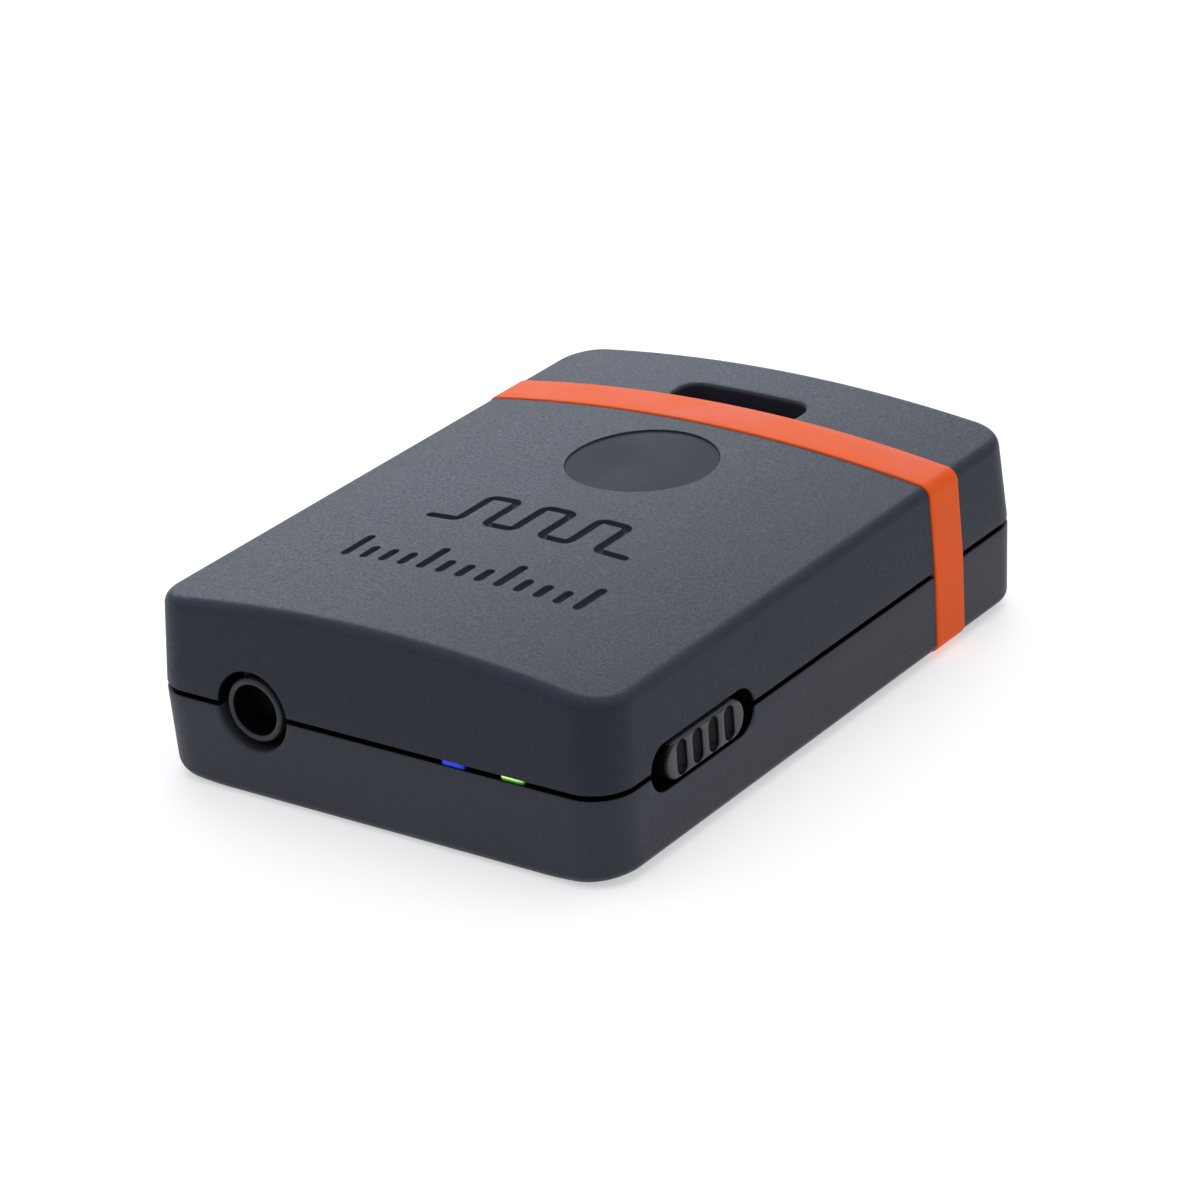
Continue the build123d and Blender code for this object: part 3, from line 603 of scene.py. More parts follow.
def band_groove():
    """Groove for the band with slightly broken edges."""
    low, high = BAND_LOW.y - GROOVE_CLEAR, BAND_HIGH.y + GROOVE_CLEAR
    floor = -BAND_DEPTH - GROOVE_CLEAR
    profile = [
        (low - GROOVE_EDGE, 2.0), (low - GROOVE_EDGE, 0.0), (low, -GROOVE_EDGE), (low, floor),
        (high, floor), (high, -GROOVE_EDGE), (high + GROOVE_EDGE, 0.0), (high + GROOVE_EDGE, 2.0),
    ]
    return ring_piece("groove", profile)


def band_profile():
    """Outline of the band across its width: square at the back, rolled edges outside."""
    low, high = BAND_LOW.y, BAND_HIGH.y
    edge = [(r * BAND_EDGE_R, d * BAND_EDGE_R) for r, d in unit_round(6)]
    front = [(low + a, BAND_PROUD - b) for a, b in edge]
    rear = [(high - a, BAND_PROUD - b) for a, b in edge[::-1]]
    across = [(low + (high - low) * t, BAND_PROUD) for t in (0.25, 0.5, 0.75)]
    return [(low, -BAND_DEPTH)] + front + across + rear + [(high, -BAND_DEPTH)]


def unit_round(steps):
    """Quarter circle from (0, 1) to (1, 0): across the edge and down from the face."""
    turns = [math.pi / 2 * k / steps for k in range(steps + 1)]
    return [(1 - math.cos(t), 1 - math.sin(t)) for t in turns]


# ---- emblem ----
DISC_Y = 6.3
DISC_R = 5.42
DISC_DEPTH = 0.12
MARK_DEPTH = 0.3
MARK_HALF = 0.31
PULSE_Y = (-7.4, -3.4)
PULSE_STEP = 2.3
PULSE_EDGES = 6
PULSE_BEND_R = 0.5
SCALE_Y = -15.2
SCALE_PITCH = 1.6
SCALE_TICKS = 13
LONG_TICK = 3.4
SHORT_TICK = 1.9


def disc_cutter():
    """Round shallow pocket whose floor follows the crown."""
    levels = [(0.05, 0.6), (0.05, 0.01), (0.02, -0.02), (0.0, -0.05), (-0.01, -0.1)]
    levels.append((-0.03, -DISC_DEPTH))
    turns = [2 * math.pi * i / 128 for i in range(128)]

    def ring(radius, rise):
        points = [(radius * math.cos(a), DISC_Y + radius * math.sin(a)) for a in turns]
        return [(x, y, float(crown_z(x)) + rise) for x, y in points]

    rings = [ring(0.15, 0.6)] + [ring(DISC_R + grow, rise) for grow, rise in levels]
    rings += [ring(DISC_R * t, -DISC_DEPTH) for t in (0.9, 0.75, 0.6, 0.45, 0.3, 0.15, 0.03)]
    return capped("disc", rings)


def stroke_cutter(path):
    """Groove along a path on the crowned top: round ends, soft edges, flat floor."""
    path = [Vector(p) for p in path]
    tangents = [(b - a).normalized() for a, b in zip(path, path[1:])]
    directions = [tangents[0]] + [(a + b).normalized() for a, b in zip(tangents, tangents[1:])]
    directions.append(tangents[-1])
    levels = [(0.06, 0.6), (0.06, 0.01), (0.025, -0.02), (0.0, -0.06), (-0.02, -0.2)]
    levels.append((-0.09, -MARK_DEPTH))
    half_turn = 8
    n = len(path)

    def outline(grow, rise):
        reach = MARK_HALF + grow
        left = [p + reach * Vector((-d.y, d.x)) for p, d in zip(path, directions)]
        right = [p - reach * Vector((-d.y, d.x)) for p, d in zip(path, directions)]
        ends = []
        for p, d in ((path[-1], directions[-1]), (path[0], -directions[0])):
            side = Vector((-d.y, d.x))
            turns = [math.pi * k / half_turn for k in range(1, half_turn)]
            ends.append([p + reach * (math.cos(t) * side + math.sin(t) * d) for t in turns])
        loop = left + ends[0] + right[::-1] + ends[1]
        return [(q.x, q.y, float(crown_z(q.x)) + rise) for q in loop]

    surface = Surface()
    for row in surface.rows([outline(*level) for level in levels]):
        left, right = row[:n], row[n + half_turn - 1 : 2 * n + half_turn - 1][::-1]
        for i in range(n - 1):
            surface.faces.append((left[i], left[i + 1], right[i + 1], right[i]))
        surface.faces.append(tuple(row[n - 1 : n + half_turn]))
        surface.faces.append(tuple(row[2 * n + half_turn - 2 :]) + (row[0],))
    return surface.piece("stroke")


def bent_path(corners, bend, step):
    """A path through corners with each one rounded, sampled evenly."""
    corners = [Vector(c) for c in corners]
    points = [corners[0]]
    for before, corner, after in zip(corners, corners[1:], corners[2:]):
        start = corner + bend * (before - corner).normalized()
        end = corner + bend * (after - corner).normalized()
        centre = start + end - corner
        for k in range(7):
            turn = math.pi / 2 * k / 6
            points.append(centre + math.cos(turn) * (start - centre) + math.sin(turn) * (end - centre))
    points.append(corners[-1])
    path = [points[0]]
    for a, b in zip(points, points[1:]):
        count = max(1, round((b - a).length / step))
        path += [a.lerp(b, k / count) for k in range(1, count + 1)]
    return path


def pulse_path():
    """Square pulse train between two levels with a lead-in at each end."""
    low, high = PULSE_Y
    reach = (PULSE_EDGES + 1) / 2 * PULSE_STEP
    corners = [(-reach, low)]
    for i in range(PULSE_EDGES):
        x = (i - (PULSE_EDGES - 1) / 2) * PULSE_STEP
        levels = (low, high) if i % 2 == 0 else (high, low)
        corners += [(x, level) for level in levels]
    corners.append((reach, low))
    return bent_path(corners, PULSE_BEND_R, 0.5)


def scale_paths():
    """Ticks of the time scale, every fourth one long."""
    paths = []
    for i in range(SCALE_TICKS):
        x = (i - (SCALE_TICKS - 1) / 2) * SCALE_PITCH
        length = LONG_TICK if i % 4 == 0 else SHORT_TICK
        paths.append([(x, SCALE_Y + MARK_HALF), (x, SCALE_Y + length - MARK_HALF)])
    return paths


def join(pieces):
    """One mesh from several separate ones."""
    work = bmesh.new()
    for piece in pieces:
        work.from_mesh(piece.data)
    mesh = bpy.data.meshes.new("joined")
    work.to_mesh(mesh)
    work.free()
    for piece in pieces:
        bpy.data.objects.remove(piece)
    joined = bpy.data.objects.new("joined", mesh)
    scene.collection.objects.link(joined)
    return joined


# ---- the two covers ----
SCREW_POINTS = [(-14.8, -22.0), (14.8, -22.0), (-14.8, 21.6), (14.8, 21.6)]
SCREW_BORE_R = 0.85
COUNTERBORE_R = 1.5
COUNTERBORE_Z = 1.2


def posts(radius, z_low, z_high):
    """A round post at each screw."""
    profile = [(z_low, radius), (z_high, radius)]
    return join([turned("post", profile, upright(x, y), 40) for x, y in SCREW_POINTS])


def shared_cuts():
    return [jack_recess(), switch_opening(), usb_opening(), band_groove(), join(pipe_notches())]


def paint(piece, material, test):
    """Gives the faces that pass a test of place and normal a material of their own."""
    piece.data.materials.append(material)
    index = len(piece.data.materials) - 1
    for face in piece.data.polygons:
        if test(*(face.center / MM), face.normal):
            face.material_index = index


def emblem_floor(x, y, z, normal):
    sunk = float(crown_z(x)) - z
    disc = abs(sunk - DISC_DEPTH) < 0.02 and math.hypot(x, y - DISC_Y) < DISC_R
    marked = abs(x) < 12 and SCALE_Y - 1 < y < PULSE_Y[1] + 1
    return normal.z > 0.5 and (disc or (marked and abs(sunk - MARK_DEPTH) < 0.03))


def in_seam(x, y, z, normal):
    """Whether a face lies in the parting gap, in the upper half of the jack recess or in the thickness
    of the wall beside an opening; these faces get painted shade.
    """
    over_x, over_y = abs(x) - (HALF_WIDTH - CORNER_R), abs(y) - (-FRONT_Y - CORNER_R)
    outside = math.hypot(max(over_x, 0), max(over_y, 0)) + min(max(over_x, over_y), 0)
    inset = CORNER_R - outside
    slot = abs(x) < SLOT_HALF_X + SLOT_WALL and abs(y - sum(SLOT_Y) / 2) < SLOT_Y[1] - SLOT_Y[0]
    gap = abs(z - PART_Z) < GAP_H / 2 + 0.01 and inset > 0.3 and not slot
    near_nose = math.hypot(x - JACK_X, z - PART_Z) < RECESS_R + 0.05 and y < 0 and normal.y > -0.6
    level = abs(z - PART_Z) < OPENING_HALF[1] + 0.3
    beside_knob = x > 0 and abs(y - OPENING_Y) < OPENING_HALF[0] + 0.3
    return gap or (near_nose and z > PART_Z) or (level and beside_knob and inset > 0.22)


def make_top_cover(material, polished, shadow):
    """Upper shell with its crown, engraving, openings, bosses and slot walls."""
    cover = shell_body(
        "top_cover_shell", UPPER_WALL, True, lambda x, drop: float(crown_z(x, drop)), crown_foot,
        CEILING, TOP_EDGE_R,
    )
    column = slot_column(SLOT_WALL, PART_Z, UPPER_HIGH.z - CEILING + 0.5)
    boss_top = float(crown_z(SCREW_POINTS[0][0])) - 0.9
    combine(cover, [column, posts(BOSS_R, PART_Z, boss_top)], "UNION")
    holes = posts(SCREW_BORE_R, PART_Z - 1, PART_Z + 4.3)
    strokes = [stroke_cutter(path) for path in [pulse_path(), *scale_paths()]]
    cuts = [slot_column(0, PART_Z - 1, UPPER_HIGH.z + 1), slot_rim(lambda x: float(crown_z(x)), 1)]
    combine(cover, [*cuts, *shared_cuts(), holes, disc_cutter(), join(strokes)], "DIFFERENCE")
    settle(cover, material, "case", ["top_cover"])
    paint(cover, polished, emblem_floor)
    paint(cover, shadow, in_seam)


def make_bottom_cover(material, shadow):
    """Lower shell with its lip, screw bosses, slot walls and openings."""
    cover = shell_body(
        "bottom_cover_shell", LOWER_WALL, False, lambda x, level: float(belly_z(x, level)),
        belly_foot, FLOOR, BOTTOM_EDGE_R,
    )
    column = slot_column(SLOT_WALL, FLOOR - 0.6, PART_Z)
    combine(cover, [column, posts(BOSS_R, FLOOR - 0.6, PART_Z)], "UNION")
    bores = posts(SCREW_BORE_R, 0, PART_Z + 1)
    sinks = posts(COUNTERBORE_R, -1, COUNTERBORE_Z)
    cuts = [slot_column(0, -1, PART_Z + 1), slot_rim(lambda x: float(belly_z(x)), -1)]
    combine(cover, [*cuts, *shared_cuts(), bores, sinks], "DIFFERENCE")
    settle(cover, material, "case", ["bottom_cover"])
    paint(cover, shadow, in_seam)


def make_band(material):
    band = ring_piece("identity_band", band_profile(), BAND_LOW.z)
    return settle(band, material, "case", ["id_band"])


# ---- jack ----
def make_jack(material, shadow):
    """Socket moulding: a round nose with a rolled front edge, its bore, and the body behind."""
    body_front, back = NOSE_Y + 1.5, JACK_HIGH.y
    (_, _, z), (half_x, _, half_z) = middle_and_half(JACK_LOW, JACK_HIGH)
    bevel = 0.15
    full, small = (half_x, half_z, 0.5), (half_x - bevel, half_z - bevel, 0.4)
    levels = [(*small, body_front), (*full, body_front + bevel), (*full, back - bevel), (*small, back)]
    body = levels_solid("jack", lambda u, v, w: (JACK_X + u, w, z + v), levels, (4, 4, 16))
    edge = 0.24
    nose = [(NOSE_Y + down * edge, NOSE_R - across * edge) for across, down in unit_round(7)[::-1]]
    nose.append((body_front + 1.0, NOSE_R))
    mouth = 0.24
    bore = [(NOSE_Y - 1.0, BORE_R + mouth)]
    bore += [(NOSE_Y + depth, BORE_R + shift) for shift, depth in arc_levels(mouth, 5)]
    bore.append((NOSE_Y + BORE_DEPTH, BORE_R))
    combine(body, [turned("nose", nose, at_jack, 96)], "UNION")
    combine(body, [turned("bore", bore, at_jack, 96)], "DIFFERENCE")
    settle(body, material, "case", ["audio_jack"])
    paint(body, shadow, lambda x, _, z, n: math.hypot(x - JACK_X, z - PART_Z) < BORE_R + 0.03)


# ---- switch knob ----
KNOB_LOW, KNOB_HIGH = box_mm("switch_knob")
KNOB_Y = -14.8
KNOB_HALF = (4.5, 1.375)
KNOB_FACE_X = KNOB_HIGH.x
KNOB_EDGE_R = 0.26
GROOVES = 4
GROOVE_PITCH = 1.81
GROOVE_HALF = (0.56, 1.22)
GROOVE_DEPTH = 0.5
GROOVE_RIM = 0.07


def finger_groove(y):
    """Cutter for one upright groove with a hollowed floor and a softened rim."""
    levels = [(-GROOVE_RIM, KNOB_FACE_X + 1)]
    levels += [(-shift, KNOB_FACE_X - depth) for shift, depth in arc_levels(GROOVE_RIM, 3)]
    hollow = GROOVE_DEPTH - GROOVE_RIM
    for across, down in unit_round(8)[1:]:
        levels.append((across * hollow, KNOB_FACE_X - GROOVE_RIM - hollow * (1 - down)))
    return stadium("groove", y, GROOVE_HALF, levels, (4, 10, 40))


def make_knob(material, shadow):
    """Slide knob: flange behind the wall and a pad with a rolled edge and four grooves."""
    levels = [(0.0, KNOB_LOW.x + 0.3)]
    for across, down in unit_round(8):
        levels.append((across * KNOB_EDGE_R, KNOB_FACE_X - down * KNOB_EDGE_R))
    knob = stadium("switch_knob_pad", KNOB_Y, KNOB_HALF, levels, (30, 4, 64))
    (_, y, _), (_, half_u, half_v) = middle_and_half(KNOB_LOW, KNOB_HIGH)
    levels = [(half_u, half_v, 1.0, KNOB_LOW.x), (half_u, half_v, 1.0, KNOB_LOW.x + 0.42)]
    levels.append((half_u - 0.08, half_v - 0.08, 0.95, KNOB_LOW.x + 0.5))
    flange = levels_solid("flange", lambda u, v, w: (w, y + u, PART_Z + v), levels, (4, 4, 24))
    first = KNOB_Y - (GROOVES - 1) / 2 * GROOVE_PITCH
    grooves = [finger_groove(first + i * GROOVE_PITCH) for i in range(GROOVES)]
    combine(knob, [flange], "UNION")
    combine(knob, [join(grooves)], "DIFFERENCE")
    settle(knob, material, "slide_switch", ["switch_knob"], 40)
    # The hollows of the grooves get a near-black material: painted shade.
    floor, reach = KNOB_FACE_X - 0.6 * GROOVE_RIM, GROOVE_HALF[1] + 0.01
    paint(knob, shadow, lambda x, _, z, n: x < floor and abs(z - PART_Z) < reach and n.x > -0.5)


# ---- screws ----
SCREW_LOW, SCREW_HIGH = box_mm("case_screws")
SCREW_HEAD_R = 1.35
SCREW_R = 0.8
THREAD_PITCH = 0.6
THREAD_DEPTH = 0.14


def screw_piece(x, y):
    """Self-tapping screw standing head down: domed head, cross recess and a threaded shank."""
    low, high = SCREW_LOW.z, SCREW_HIGH.z
    head_top = COUNTERBORE_Z - 0.02
    root_r = SCREW_R - THREAD_DEPTH
    dome = ((0.0, 0.35), (0.02, 0.16), (0.09, 0.05), (0.2, 0.0))
    profile = [(low + up, SCREW_HEAD_R - less) for up, less in dome]
    profile += [(head_top - 0.06, SCREW_HEAD_R), (head_top, SCREW_HEAD_R - 0.06)]
    profile += [(head_top + 0.01, root_r)]
    z = head_top + 0.4
    while z < high - 1.0:
        profile += [(z, root_r), (z + 0.16, SCREW_R), (z + 0.22, SCREW_R), (z + 0.38, root_r)]
        z += THREAD_PITCH
    profile += [(high - 0.35, root_r), (high, 0.25)]
    screw = turned("screw", profile, upright(x, y), 48)
    wings = []
    for across, along in ((0.85, 0.16), (0.16, 0.85)):
        levels = [(across + 0.03, along + 0.03, 0.03, z) for z in (low - 0.4, low)]
        levels.append((max(across - 0.22, 0.1), max(along - 0.22, 0.1), 0.03, low + 0.55))
        wings.append(levels_solid("wing", lambda u, v, w: (x + u, y + v, w), levels, (1, 1, 4)))
    combine(wings[0], [wings[1]], "UNION")
    combine(screw, [wings[0]], "DIFFERENCE")
    return screw


def make_screws(material):
    screws = join([screw_piece(x, y) for x, y in SCREW_POINTS])
    screws.name = "case_screw_set"
    settle(screws, material, "case", ["case_screws"])


# ---- charging socket ----
USB_SHEET = 0.3
TONGUE_LOW, TONGUE_HIGH = box_mm("usb_tongue")
TONGUE_HALF = 1.8
TONGUE_Z = (5.3, 5.9)


def usb_outline(grow):
    """Socket outline looking from the left: straight top, sides that slope in below."""
    half = USB_HALF_Y - grow
    low, high = USB_LOW.z + grow, USB_HIGH.z - grow
    knee = low + (high - low) * 0.38
    sharp = [(-half + 0.8, low), (half - 0.8, low), (half, knee), (half, high)]
    sharp += [(-half, high), (-half, knee)]
    path = []
    count = len(sharp)
    for i, corner in enumerate(sharp):
        corner = Vector(corner)
        before, after = Vector(sharp[i - 1]), Vector(sharp[(i + 1) % count])
        bend = 0.35 - 0.5 * grow
        start = corner + bend * (before - corner).normalized()
        end = corner + bend * (after - corner).normalized()
        for k in range(7):
            t = k / 6
            path.append((1 - t) ** 2 * start + 2 * t * (1 - t) * corner + t * t * end)
    return [(USB_Y + q.x, q.y) for q in path]


def make_usb(steel, moulding, gold):
    """Charging socket: a folded steel shell open to the left, and the tongue with five contacts."""
    face, back = USB_LOW.x, USB_HIGH.x
    levels = [(0.06, face), (0.0, face + 0.06), (0.0, back)]
    inner = [(USB_SHEET, back), (USB_SHEET, face + 0.12), (USB_SHEET - 0.08, face)]
    rows = [[(x, y, z) for y, z in usb_outline(grow)] for grow, x in levels + inner]
    settle(closed_ring("charging_shell", rows), steel, "case", ["usb_socket"])
    front, back = TONGUE_LOW.x, TONGUE_HIGH.x
    outline = usb_outline(USB_SHEET + 0.05)
    seat = capped("charging_tongue", [[(x, y, z) for y, z in outline] for x in (back - 1.2, back)])
    half_z = (TONGUE_Z[1] - TONGUE_Z[0]) / 2
    middle_z = (TONGUE_Z[1] + TONGUE_Z[0]) / 2
    full = (TONGUE_HALF, half_z, 0.1)
    levels = [(TONGUE_HALF - 0.12, half_z - 0.12, 0.05, front), (*full, front + 0.15)]
    levels.append((*full, back - 0.6))
    blade = levels_solid("blade", lambda u, v, w: (w, USB_Y + u, middle_z + v), levels, (4, 2, 12))
    combine(seat, [blade], "UNION")
    settle(seat, moulding, "case", ["usb_tongue"])
    contacts = []
    for i in range(5):
        y = USB_Y + (i - 2) * 0.65
        low = (front + 0.3, y - 0.17, TONGUE_Z[0] - 0.04)
        contacts.append(block(low, (back - 1.25, y + 0.17, TONGUE_Z[0] + 0.03)))
    strips = join(contacts)
    strips.name = "charging_contacts"
    settle(strips, gold, "case", [])


# ---- light pipes ----
def make_light_pipe(colour, material):
    """Clear bar with a rounded front end, and the foot that stands over the light chip."""
    node = "light_pipe_" + colour
    low, high = box_mm(node)
    (x, _, _), (half_x, _, _) = middle_and_half(low, high)
    half_z = high.z - PART_Z
    edge = 0.08
    levels = []
    for across, down in unit_round(4)[::-1]:
        shrink = across * edge
        levels.append((half_x - shrink, half_z - shrink, 0.05, low.y + down * edge))
    levels.append((half_x, half_z, 0.05, high.y))
    bar = levels_solid("bar", lambda u, v, w: (x + u, w, PART_Z + v), levels, (4, 2, 8))
    foot = block((low.x + 0.01, high.y - 1.0, low.z), (high.x - 0.01, high.y - 0.01, PART_Z))
    combine(bar, [foot], "UNION")
    bar.name = "pipe_" + colour
    return settle(bar, material, "case", [node])


# ---- materials ----
def smooth_range(tree, value, numbers):
    """Node that maps a value smoothly; numbers are its range, then the range it maps to."""
    made = tree.nodes.new("ShaderNodeMapRange")
    made.interpolation_type = "SMOOTHSTEP"
    for key, number in zip(("From Min", "From Max", "To Min", "To Max"), numbers):
        made.inputs[key].default_value = number
    tree.links.new(value, made.inputs["Value"])
    return made.outputs["Result"]


class Recipe:
    """One procedural material on a Principled shader."""

    def __init__(self, name, **constants):
        self.material = bpy.data.materials.new(name)
        self.material.use_nodes = True
        self.tree = self.material.node_tree
        self.shader = self.tree.nodes["Principled BSDF"]
        for socket, value in constants.items():
            self.shader.inputs[socket.replace("_", " ")].default_value = value
        self.place = self.tree.nodes.new("ShaderNodeTexCoord").outputs["Object"]

    def link(self, source, target):
        self.tree.links.new(source, target)

    def node(self, kind, **settings):
        made = self.tree.nodes.new(kind)
        for key, value in settings.items():
            setattr(made, key, value)
        return made

    def noise(self, size_mm, detail=3.0, roughness=0.55, stretch=None):
        """Noise whose features are about size_mm across."""
        made = self.node("ShaderNodeTexNoise")
        made.inputs["Scale"].default_value = 1 / (size_mm * MM)
        made.inputs["Detail"].default_value = detail
        made.inputs["Roughness"].default_value = roughness
        place = self.place
        if stretch:
            mapping = self.node("ShaderNodeMapping")
            mapping.inputs["Scale"].default_value = stretch
            self.link(place, mapping.inputs["Vector"])
            place = mapping.outputs["Vector"]
        self.link(place, made.inputs["Vector"])
        return made.outputs["Fac"]

    def ramp(self, value, low, high, out_low=0.0, out_high=1.0):
        """Maps a value smoothly from one range to another."""
        return smooth_range(self.tree, value, (low, high, out_low, out_high))

    def math(self, operation, a, b):
        made = self.node("ShaderNodeMath", operation=operation)
        for socket, value in zip(made.inputs, (a, b)):
            if isinstance(value, (int, float)):
                socket.default_value = value
            else:
                self.link(value, socket)
        return made.outputs["Value"]

    def mix(self, share, a, b):
        """Mix of two colours, each a tuple or a socket."""
        made = self.node("ShaderNodeMix", data_type="RGBA")
        self.link(share, made.inputs["Factor"])
        for key, value in (("A", a), ("B", b)):
            socket = [s for s in made.inputs if s.name == key and s.type == "RGBA"][0]
            if isinstance(value, tuple):
                socket.default_value = (*value, 1.0)
            else:
                self.link(value, socket)
        return [s for s in made.outputs if s.type == "RGBA"][0]

    def colour(self, socket):
        self.link(socket, self.shader.inputs["Base Color"])

    def roughness(self, socket):
        self.link(socket, self.shader.inputs["Roughness"])

    def bump(self, height, depth_mm, strength=1.0):
        """Relief of depth_mm from a height between 0 and 1, over any earlier relief."""
        made = self.node("ShaderNodeBump")
        made.inputs["Strength"].default_value = strength
        made.inputs["Distance"].default_value = depth_mm * MM
        self.link(height, made.inputs["Height"])
        earlier = self.shader.inputs["Normal"].links
        if earlier:
            self.link(earlier[0].from_socket, made.inputs["Normal"])
        self.link(made.outputs["Normal"], self.shader.inputs["Normal"])


def shade(colour, factor):
    return tuple(min(1.0, c * factor) for c in colour)


def basic(name, colour, roughness, grain_mm=0.15, relief_mm=0.004, spread=0.18, **constants):
    """Material with mottled colour, uneven gloss and fine relief."""
    recipe = Recipe(name, **constants)
    coarse = recipe.noise(grain_mm * 22, 2.0)
    fine = recipe.noise(grain_mm, 4.0, 0.6)
    large, small = recipe.math("MULTIPLY", coarse, 0.6), recipe.math("MULTIPLY", fine, 0.4)
    share = recipe.ramp(recipe.math("ADD", large, small), 0.3, 0.7)
    recipe.colour(recipe.mix(share, shade(colour, 1 - spread), shade(colour, 1 + spread)))
    recipe.roughness(recipe.ramp(coarse, 0.3, 0.7, roughness * 0.88, min(1.0, roughness * 1.12)))
    recipe.bump(fine, relief_mm)
    return recipe.material


# Both shells are one plastic; the lower shell's colour is painted lighter, standing in for light
# bounced up from the floor onto the lower walls.
UPPER_COLOUR = (0.0178, 0.0215, 0.0315)
LOWER_LIT_COLOUR = (0.0258, 0.0288, 0.0395)


def shell_plastic(name, tint, gloss):
    """Dark moulded plastic with a spark-eroded skin; where edges are rounded it is a little polished,
    and lightened with a painted sheen.
    """
    recipe = Recipe(name, IOR=1.46, Specular_IOR_Level=gloss)
    cloud = recipe.noise(14.0, 3.0)
    grain = recipe.noise(0.2, 3.0, 0.6)
    pits = recipe.noise(0.085, 2.0, 0.7)
    normal = recipe.node("ShaderNodeNewGeometry").outputs["Normal"]
    split = recipe.node("ShaderNodeSeparateXYZ")
    recipe.link(normal, split.inputs["Vector"])
    lean = recipe.math("ABSOLUTE", split.outputs["Z"], 0.0)
    rising = recipe.ramp(lean, 0.18, 0.5)
    falling = recipe.ramp(lean, 0.85, 0.985, 1.0, 0.0)
    patchy = recipe.ramp(cloud, 0.35, 0.65, 0.5, 1.0)
    polish_and_sheen = recipe.math("MULTIPLY", recipe.math("MULTIPLY", rising, falling), patchy)
    base = recipe.mix(recipe.ramp(cloud, 0.3, 0.7), shade(tint, 0.94), shade(tint, 1.06))
    speck = recipe.mix(recipe.ramp(pits, 0.35, 0.7), base, shade(tint, 1.4))
    # Painted sheen: rounded edges, picked out by how far their normal leans, are lightened in colour;
    # the same mask makes them a little glossier.
    recipe.colour(recipe.mix(recipe.math("MULTIPLY", polish_and_sheen, 0.5), speck, shade(tint, 1.8)))
    matt = recipe.ramp(grain, 0.3, 0.7, 0.42, 0.56)
    recipe.roughness(recipe.math("SUBTRACT", matt, recipe.math("MULTIPLY", polish_and_sheen, 0.1)))
    recipe.bump(grain, 0.013)
    recipe.bump(pits, 0.007)
    return recipe.material


def band_silicone():
    """Saturated orange silicone with a faint moulded grain and slightly deeper edges."""
    gloss = {"IOR": 1.41, "Specular_IOR_Level": 0.12}
    recipe = Recipe("band_silicone", **gloss, Subsurface_Weight=0.1, Subsurface_Scale=0.0005)
    recipe.shader.inputs["Subsurface Radius"].default_value = (1.0, 0.35, 0.12)
    cloud = recipe.noise(6.0, 3.0)
    grain = recipe.noise(0.22, 3.0, 0.6)
    base = recipe.mix(recipe.ramp(cloud, 0.3, 0.7), (0.7, 0.086, 0.0085), (0.76, 0.1, 0.0115))
    recipe.colour(recipe.mix(recipe.ramp(grain, 0.6, 0.8, 0.0, 0.25), base, (0.66, 0.075, 0.008)))
    recipe.roughness(recipe.ramp(cloud, 0.3, 0.7, 0.46, 0.58))
    recipe.bump(grain, 0.006)
    return recipe.material


def light_material(name, node, deep, core, hot):
    """Glowing clear plastic: brightest over the chip and dying away towards its right end."""
    low, high = box_mm(node)
    recipe = Recipe(name, Roughness=0.25, Specular_IOR_Level=0.2)
    cloud = recipe.noise(0.4, 2.0)
    split = recipe.node("ShaderNodeSeparateXYZ")
    recipe.link(recipe.place, split.inputs["Vector"])
    left, width = low.x * MM, (high.x - low.x) * MM
    along = recipe.ramp(split.outputs["X"], left + 0.6 * width, left + 1.1 * width, 1.0, 0.08)
    start = recipe.ramp(split.outputs["X"], left, left + 0.12 * width, 0.4, 1.0)
    upper = recipe.ramp(split.outputs["Z"], (PART_Z - 0.06) * MM, (PART_Z + 0.13) * MM)
    heat = recipe.math("MULTIPLY", upper, recipe.ramp(cloud, 0.25, 0.6, 0.6, 1.0))
    glow = recipe.mix(recipe.math("MULTIPLY", heat, hot), deep, core)
    recipe.colour(glow)
    recipe.link(glow, recipe.shader.inputs["Emission Color"])
    recipe.link(recipe.math("MULTIPLY", along, start), recipe.shader.inputs["Emission Strength"])
    recipe.bump(cloud, 0.004)
    return recipe.material


PLAIN = {
    # colour, roughness, grain and relief in mm, spread of the colour
    "polished_plastic": ((0.024, 0.026, 0.031), 0.42, 0.3, 0.0006, 0.08),
    "knob_plastic": ((0.028, 0.03, 0.036), 0.3, 0.09),
    "jack_plastic": ((0.026, 0.027, 0.032), 0.34, 0.1, 0.006),
    "shadow_plastic": ((0.0022, 0.0024, 0.003), 0.5, 0.1, 0.003),
    # painted shade for the hollows of the knob's grooves
    "knob_groove_shade": ((0.005, 0.005, 0.006), 0.34, 0.12, 0.03),
    "contact_metal": ((0.78, 0.6, 0.3), 0.28, 0.08, 0.001, 0.06),
    "board": ((0.01, 0.05, 0.022), 0.4, 0.3),
    "foil": ((0.62, 0.63, 0.66), 0.32, 0.6, 0.01, 0.05),
    "foam": ((0.03, 0.03, 0.03), 0.95, 0.25, 0.06),
    "lead_red": ((0.55, 0.012, 0.01), 0.42),
    "lead_black": ((0.012, 0.012, 0.012), 0.42),
    "connector_white": ((0.72, 0.69, 0.6), 0.42),
    "steel": ((0.56, 0.56, 0.58), 0.3, 0.1, 0.001, 0.06),
    "screw_steel": ((0.12, 0.12, 0.13), 0.32, 0.08, 0.001, 0.1),
    "chip_black": ((0.014, 0.014, 0.015), 0.55, 0.06, 0.003),
    "ceramic_part": ((0.34, 0.24, 0.15), 0.5, 0.06, 0.002),
    "switch_housing": ((0.02, 0.02, 0.022), 0.48),
    "led_ceramic": ((0.7, 0.68, 0.6), 0.4, 0.06, 0.001),
}
